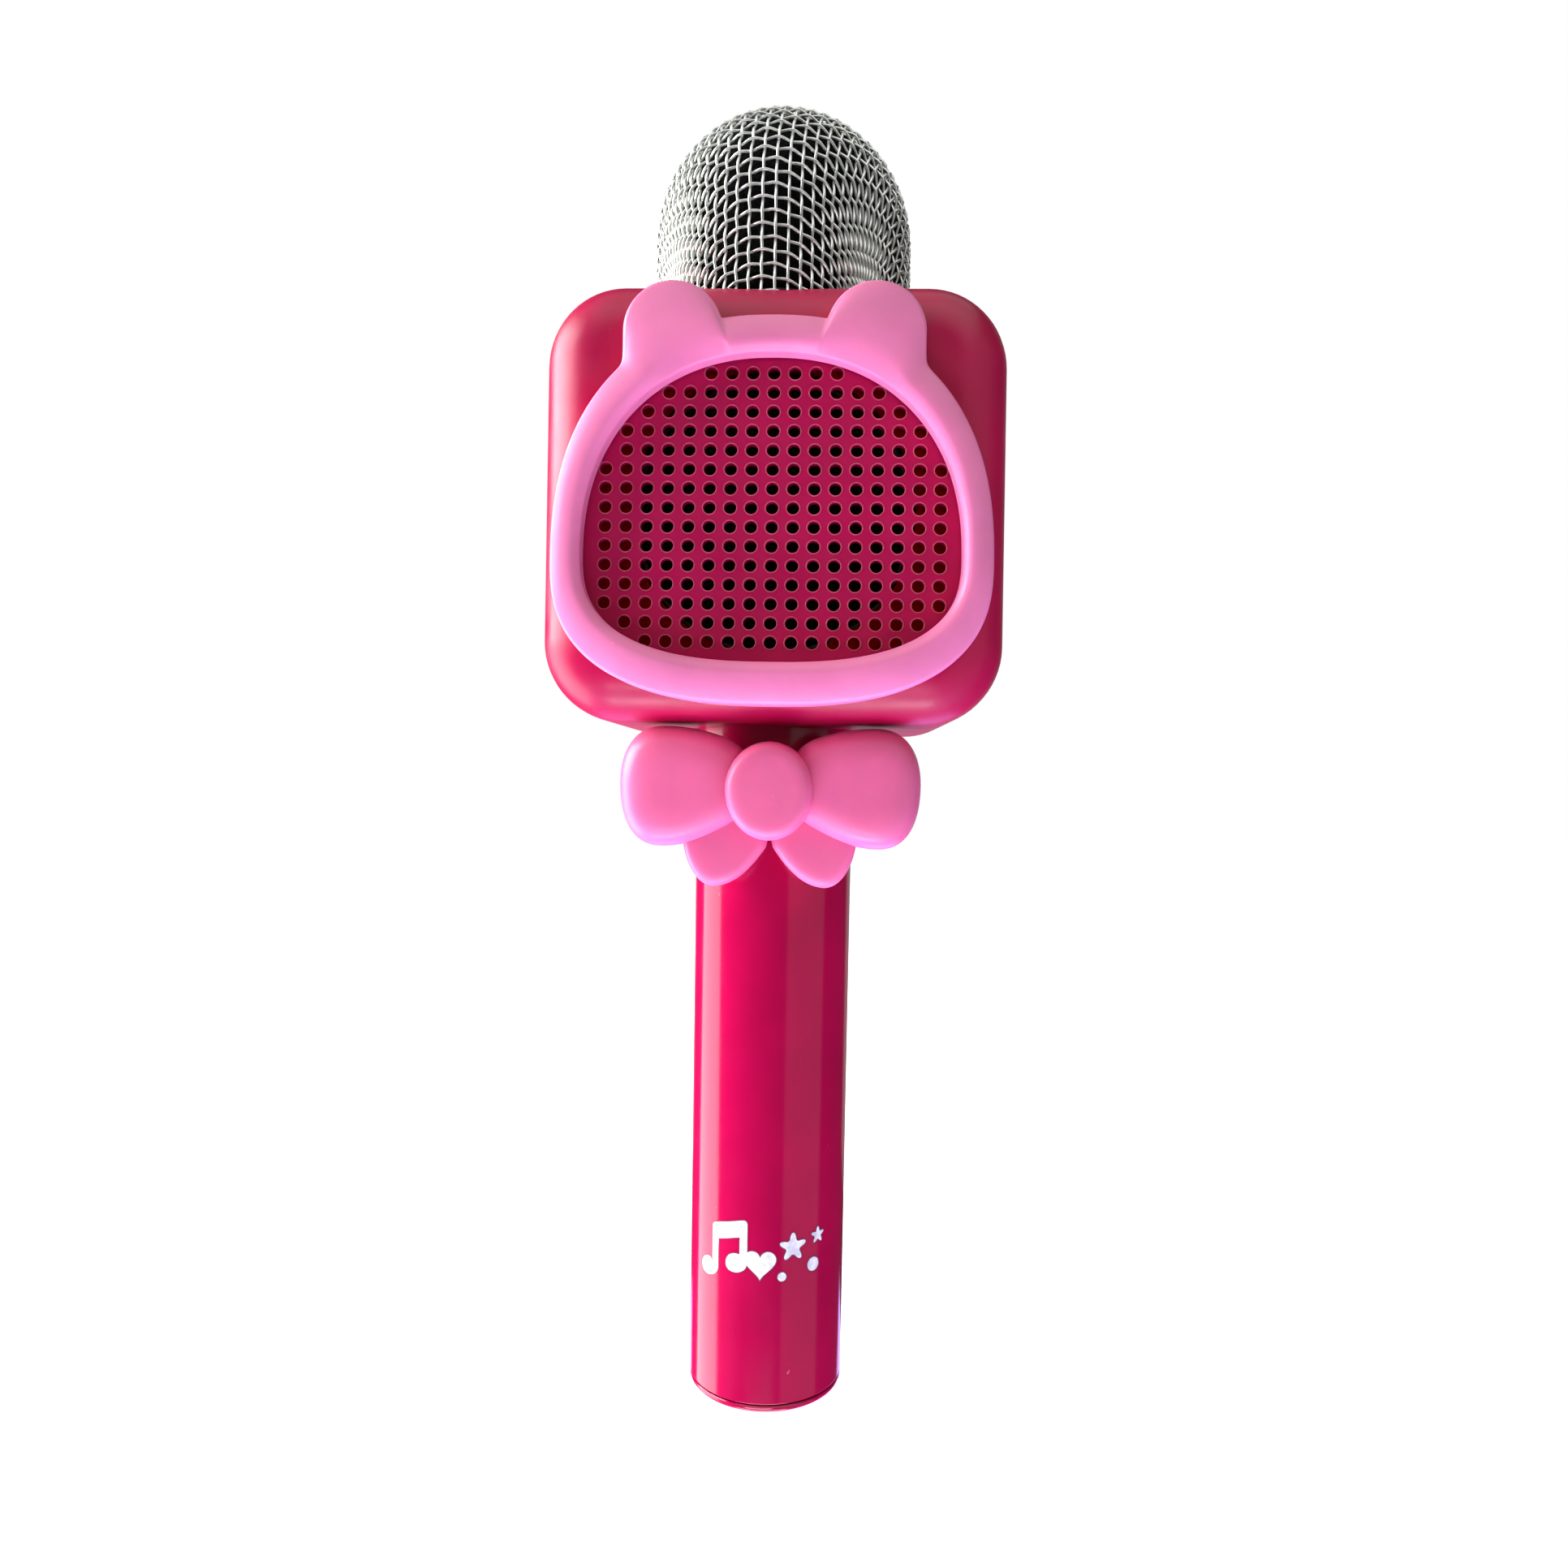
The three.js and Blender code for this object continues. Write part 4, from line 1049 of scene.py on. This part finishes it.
def make_foam(made):
    """The black windscreen foam just inside the wire, with a lumpy open-cell surface."""
    radius, bottom = DOME_RADIUS - 2 * (CRIMP + WIRE) - GAP, 199
    profile = [(0, bottom)]
    profile += [(radius, z) for z in np.linspace(bottom, DOME_CENTRE, 10)]
    profile += dome_points(radius, radius, DOME_CENTRE, 24)
    foam = turned("foam_dome", profile, made["foam"])
    texture = bpy.data.textures.new("foam_lumps", "CLOUDS")
    texture.noise_scale = 1.6 * MM
    modifier = foam.modifiers.new("lumps", "DISPLACE")
    modifier.texture = texture
    modifier.strength = 0.5 * MM
    modifier.mid_level = 1.0
    bake(foam)
    placed(foam, "black_foam", "foam_windscreen")


# ---- Rear controls ----
def key_hole(key, face_y):
    """Cutter for a key's hole, with a small chamfer at the panel's face."""
    centre, radius, *_ = facing_part("button_" + key)
    chamfer = 0.35
    mouth = ((chamfer, chamfer), (0.6, 1 + chamfer))
    return drill(radius + GAP, 20, face_y - chamfer, centre, 64, mouth=mouth)


def make_panel(made):
    """The rear panel with a soft edge, holes for the keys and the light, and the switch's slot."""
    back, face_y = (corner[1] for corner in node_box("control_panel"))
    stations = ((0, back), (0, face_y - 0.4), (-0.12, face_y - 0.12), (-0.4, face_y), (-2, face_y))
    rings = [at_y(face_outline(PANEL, 160, margin), y) for margin, y in stations]
    panel = loft("rear_panel", rings, made["pink"])
    key_holes = [key_hole(key, face_y) for key in KEYS]
    light_hole = drill(1.8, 20, 40, facing_part("status_led")[0], 32)
    slot_outline = rounded_rectangle(0, facing_part("power_slider")[0][2], 5.3, 1.95, 0.6)
    slot = loft("slot", [at_y(slot_outline, y) for y in (20, 40)])
    cut(panel, *key_holes, light_hole, slot)
    placed(panel, "pink_gloss", "control_panel", sharp=35)


def icon_outlines(key):
    """Plain signs for the keys, about (0, 0)."""
    triangle = np.array([(-1.3, -1.7), (1.9, 0.0), (-1.3, 1.7)])
    bar = np.array([(1.1, -1.3), (1.6, -1.3), (1.6, 1.3), (1.1, 1.3)])
    small = triangle * 0.75 + np.array([-0.3, 0])
    if key == "play":
        pause = [bar * 1.4 + np.array([x, 0]) for x in (0.1, 1.3)]
        return [triangle * 1.15 + np.array([-1.2, 0])] + pause
    if key == "next":
        return [small, bar]
    if key == "previous":
        return [small[::-1] * np.array([-1, 1]), bar[::-1] * np.array([-1, 1])]
    if key == "light":
        rays = [oval(1.75 * math.cos(a), 1.75 * math.sin(a), 0.22, 0.22) for a in circle(8)]
        return [oval(0, 0, 0.9, 0.9)] + rays
    stem = np.array([(-0.2, -1.9), (0.2, -1.9), (0.2, -0.6), (-0.2, -0.6)])
    return [oval(0, 0.55, 0.75, 1.15), stem]


def key_top(top, share):
    """Y of a dished key's face, at a share of the way out to its rounded edge."""
    return top - KEY_DISH * (1 - share**2) ** 2


def key_sign(outline, centre, top, flat):
    """A sign as a thin body that follows the key's dish, as points and faces."""
    size, depth, proud = len(outline), 0.3, 0.06
    share = np.minimum(np.hypot(outline[:, 0], outline[:, 1]) / flat, 1)
    mirrored = np.stack([centre[0] - outline[:, 0], centre[2] + outline[:, 1]], axis=1)
    front = at_y(mirrored, key_top(top, share) + proud)
    return np.concatenate([front, front - np.array([0, depth, 0])]), capped_faces(2, size)


def make_keys(made):
    """Round keys with dished faces and raised signs."""
    for key in KEYS:
        node, body = "button_" + key, "key_" + key
        centre, radius, back, top = facing_part(node)
        stem, flange, flat = 2, 1, radius - 1.2
        profile = [(0, back), (stem, back), (stem, back + flange), (radius, back + flange)]
        profile += [(radius - inset, top - fall) for inset, fall in quarter(0.7, 8)]
        profile += [(flat * share, key_top(top, share)) for share in np.linspace(1, 0, 12)]
        cap = turned(node + "_cap", profile, made["pink"], "y", centre, 72)
        placed(cap, "pink_gloss", node, body=body, sharp=50)
        signs = [key_sign(outline, centre, top, flat) for outline in icon_outlines(key)]
        icon = merged(node + "_sign", signs, made["icon"])
        icon.data.shade_flat()
        placed(icon, "magenta_gloss", body=body)


def make_slider(made):
    """The power switch: a ridged knob with rounded ends, and the foot that holds it in the slot."""
    (x, _, z), _, _, top = facing_part("power_slider")
    half_x, half_z, bottom = 3.0, 1.65, 24.0
    corner, groove_depth, groove_pitch, ridged = 0.6, 0.5, 1.6, 2.1
    profile = [(-half_x, bottom)]
    for across in np.linspace(-half_x, half_x, 60):
        edge = corner - min(corner, half_x - abs(across))
        shoulder = corner - math.sqrt(max(corner**2 - edge**2, 0))
        groove = 0
        if abs(across) < ridged:
            groove = groove_depth * max(0, math.cos(2 * math.pi * across / groove_pitch)) ** 3
        profile.append((across, top - shoulder - groove))
    profile = np.array(profile + [(half_x, bottom)])
    bevel = 0.25
    rings = []
    for rise, shrink in ((-half_z, bevel), (bevel - half_z, 0), (half_z - bevel, 0), (half_z, bevel)):
        across = x + profile[:, 0] * (1 - shrink / half_x)
        lowered = np.minimum(profile[:, 1], top - shrink)
        rings.append(np.stack([across, lowered, np.full(len(profile), z + rise)], axis=1))
    knob = loft("slider_knob", rings, made["pink"])
    foot_outline = rounded_rectangle(x, z, 5.0, 2.6, 0.4)
    foot = loft("slider_foot", [at_y(foot_outline, y) for y in (23.0, 26.3)], made["pink"])
    placed(knob, "pink_gloss", "power_slider", body="slider", sharp=40)
    placed(foot, "pink_gloss", body="slider", sharp=40)


def make_small_parts(made):
    """The domed status light, and the tongue inside the charging socket."""
    centre, radius, back, top = facing_part("status_led")
    dome = 0.7
    profile = [(0, back), (radius, back), (radius, top - dome)]
    profile += dome_points(radius, dome, top - dome, 10)
    light = turned("status_light", profile, made["light"], "y", centre, 40)
    placed(light, "light_pipe", "status_led")

    low, high = node_box("usb_socket")
    outline = rounded_rectangle(*(low[1:] + high[1:]) / 2, 0.35, 2.6, 0.2)
    tongue = loft("usb_tongue", [at_x(outline, x) for x in (low[0] + 1, high[0] - 1)], made["black"])
    placed(tongue, "black_plastic", sharp=40)


# ---- Studio ----
def make_floor():
    """A pale floor. It shows the contact shadow and stays out of the gloss and the fill light."""
    glow = dict(Emission_Color=(1, 1, 1, 1), Emission_Strength=0.85)
    material, nodes = surface("pale_floor", (0.88, 0.88, 0.88), 0.7, **glow)
    nodes.colour(nodes.mix(nodes.noise(40, 3), (0.86, 0.86, 0.86), (0.90, 0.90, 0.90)))
    nodes.bump(nodes.noise(1.5, 3), 0.02, 0.3)
    reach = 3000
    corners = [(-reach, -reach, 0), (reach, -reach, 0), (reach, reach, 0), (-reach, reach, 0)]
    floor = piece_from("studio_floor", corners, [(0, 1, 2, 3)], material)
    floor.visible_glossy = False
    floor.visible_diffuse = False
    floor.visible_shadow = False


def make_world(seen, below, above, glossy):
    """White behind the object, a fill a little stronger from below, and not much to reflect."""
    world = bpy.data.worlds.new("studio_air")
    world.use_nodes = True
    nodes = Nodes(world.node_tree)
    height = nodes.add("ShaderNodeSeparateXYZ", Vector=nodes.coordinates["Generated"]).outputs["Z"]
    path = nodes.add("ShaderNodeLightPath").outputs
    fill = nodes.spread(height, -0.6, 0.6, below, above)
    fill = nodes.spread(path["Is Glossy Ray"], 0.0, 1.0, fill, glossy)
    fill = nodes.spread(path["Is Camera Ray"], 0.0, 1.0, fill, seen)
    background = world.node_tree.nodes["Background"]
    background.inputs["Color"].default_value = (1, 1, 1, 1)
    nodes.link(fill, background.inputs["Strength"])
    bpy.context.scene.world = world


def soft_panel(name, azimuth, elevation, distance, width, height, radiance, colour=(1, 1, 1), gloss=True):
    """A soft light panel facing the object. Azimuth 0 is in front of the speaker, 90 at its right."""
    middle = Vector((0, 0, 0.13))
    turn, rise = math.radians(azimuth), math.radians(elevation)
    away = Vector((math.sin(turn) * math.cos(rise), -math.cos(turn) * math.cos(rise), math.sin(rise)))
    light = bpy.data.lights.new(name, "AREA")
    light.shape = "RECTANGLE"
    light.size, light.size_y = width, height
    light.energy = radiance * math.pi * width * height
    light.color = colour
    lamp = bpy.data.objects.new(name, light)
    lamp.location = middle + distance * away
    lamp.rotation_euler = (-away).to_track_quat("-Z", "Y").to_euler()
    lamp.visible_camera = False
    lamp.visible_glossy = gloss
    bpy.context.scene.collection.objects.link(lamp)


def make_studio():
    """Tall windows at the left, two strips low in front, a violet glow from below and dim walls."""
    make_floor()
    make_world(seen=1.0, below=0.24, above=0.20, glossy=0.03)
    soft_panel("left_window", -99, -22, 0.9, 0.66, 1.0, 4.0)
    soft_panel("left_window_upper", -88, 24, 0.9, 0.8, 0.62, 10.0)
    soft_panel("left_key", -92, 4, 0.9, 0.5, 1.1, 5.2, (1.0, 1.0, 1.1), gloss=False)
    soft_panel("low_left_window", -70, -48, 0.9, 0.8, 0.6, 2.5, gloss=False)
    soft_panel("low_sky", 0, -80, 0.5, 0.9, 0.5, 3.3, (0.85, 0.85, 1.7), gloss=False)
    soft_panel("low_back_glow", 178, -50, 0.8, 0.8, 0.45, 1.8, (0.9, 0.7, 1.8))
    soft_panel("low_window_front", -7, -45, 0.8, 0.42, 0.06, 16.0)
    soft_panel("low_window_back", -7, -77, 0.6, 0.40, 0.10, 12.0)
    soft_panel("upper_front", 5, 58, 0.8, 1.1, 0.7, 0.65)
    soft_panel("right_wall", 54, 0, 0.8, 0.9, 1.5, 0.34)
    soft_panel("ceiling", 20, 80, 0.8, 1.2, 1.0, 0.6)
    soft_panel("back_wall", 175, 8, 1.0, 1.3, 1.3, 0.3)


def make_camera():
    """At the photograph's viewpoint: close, level with the neck, a touch to one side and rolled."""
    distance, side_step, height = 0.210, 0.0018, 0.1133
    turn, roll = math.radians(1.9), math.radians(0.95)
    forward = Vector((-math.sin(turn), math.cos(turn), 0))
    right = Vector((math.cos(turn), math.sin(turn), 0))
    camera = bpy.data.cameras.new("camera")
    camera.sensor_fit = "HORIZONTAL"
    camera.sensor_width = 36
    camera.lens = 24.97
    camera.clip_start = 0.01
    camera.clip_end = 20
    holder = bpy.data.objects.new("camera", camera)
    place = -distance * forward + side_step * right
    holder.location = (place.x, place.y, height)
    upright = Euler((math.pi / 2, 0, turn)).to_matrix()
    holder.rotation_euler = (upright @ Matrix.Rotation(roll, 3, "Z")).to_euler()
    bpy.context.scene.collection.objects.link(holder)
    bpy.context.scene.camera = holder
    bpy.context.scene.view_settings.view_transform = "Standard"


make_camera()
make_studio()
materials = make_materials()
dress_inner_nodes(materials)
for make_part in (
    make_front_shell, make_rear_shell, make_screws, make_grille, make_face_ring, make_bow,
    make_handle, make_end_cap, make_print, make_wire_head, make_foam,
    make_panel, make_keys, make_slider, make_small_parts,
):
    make_part(materials)
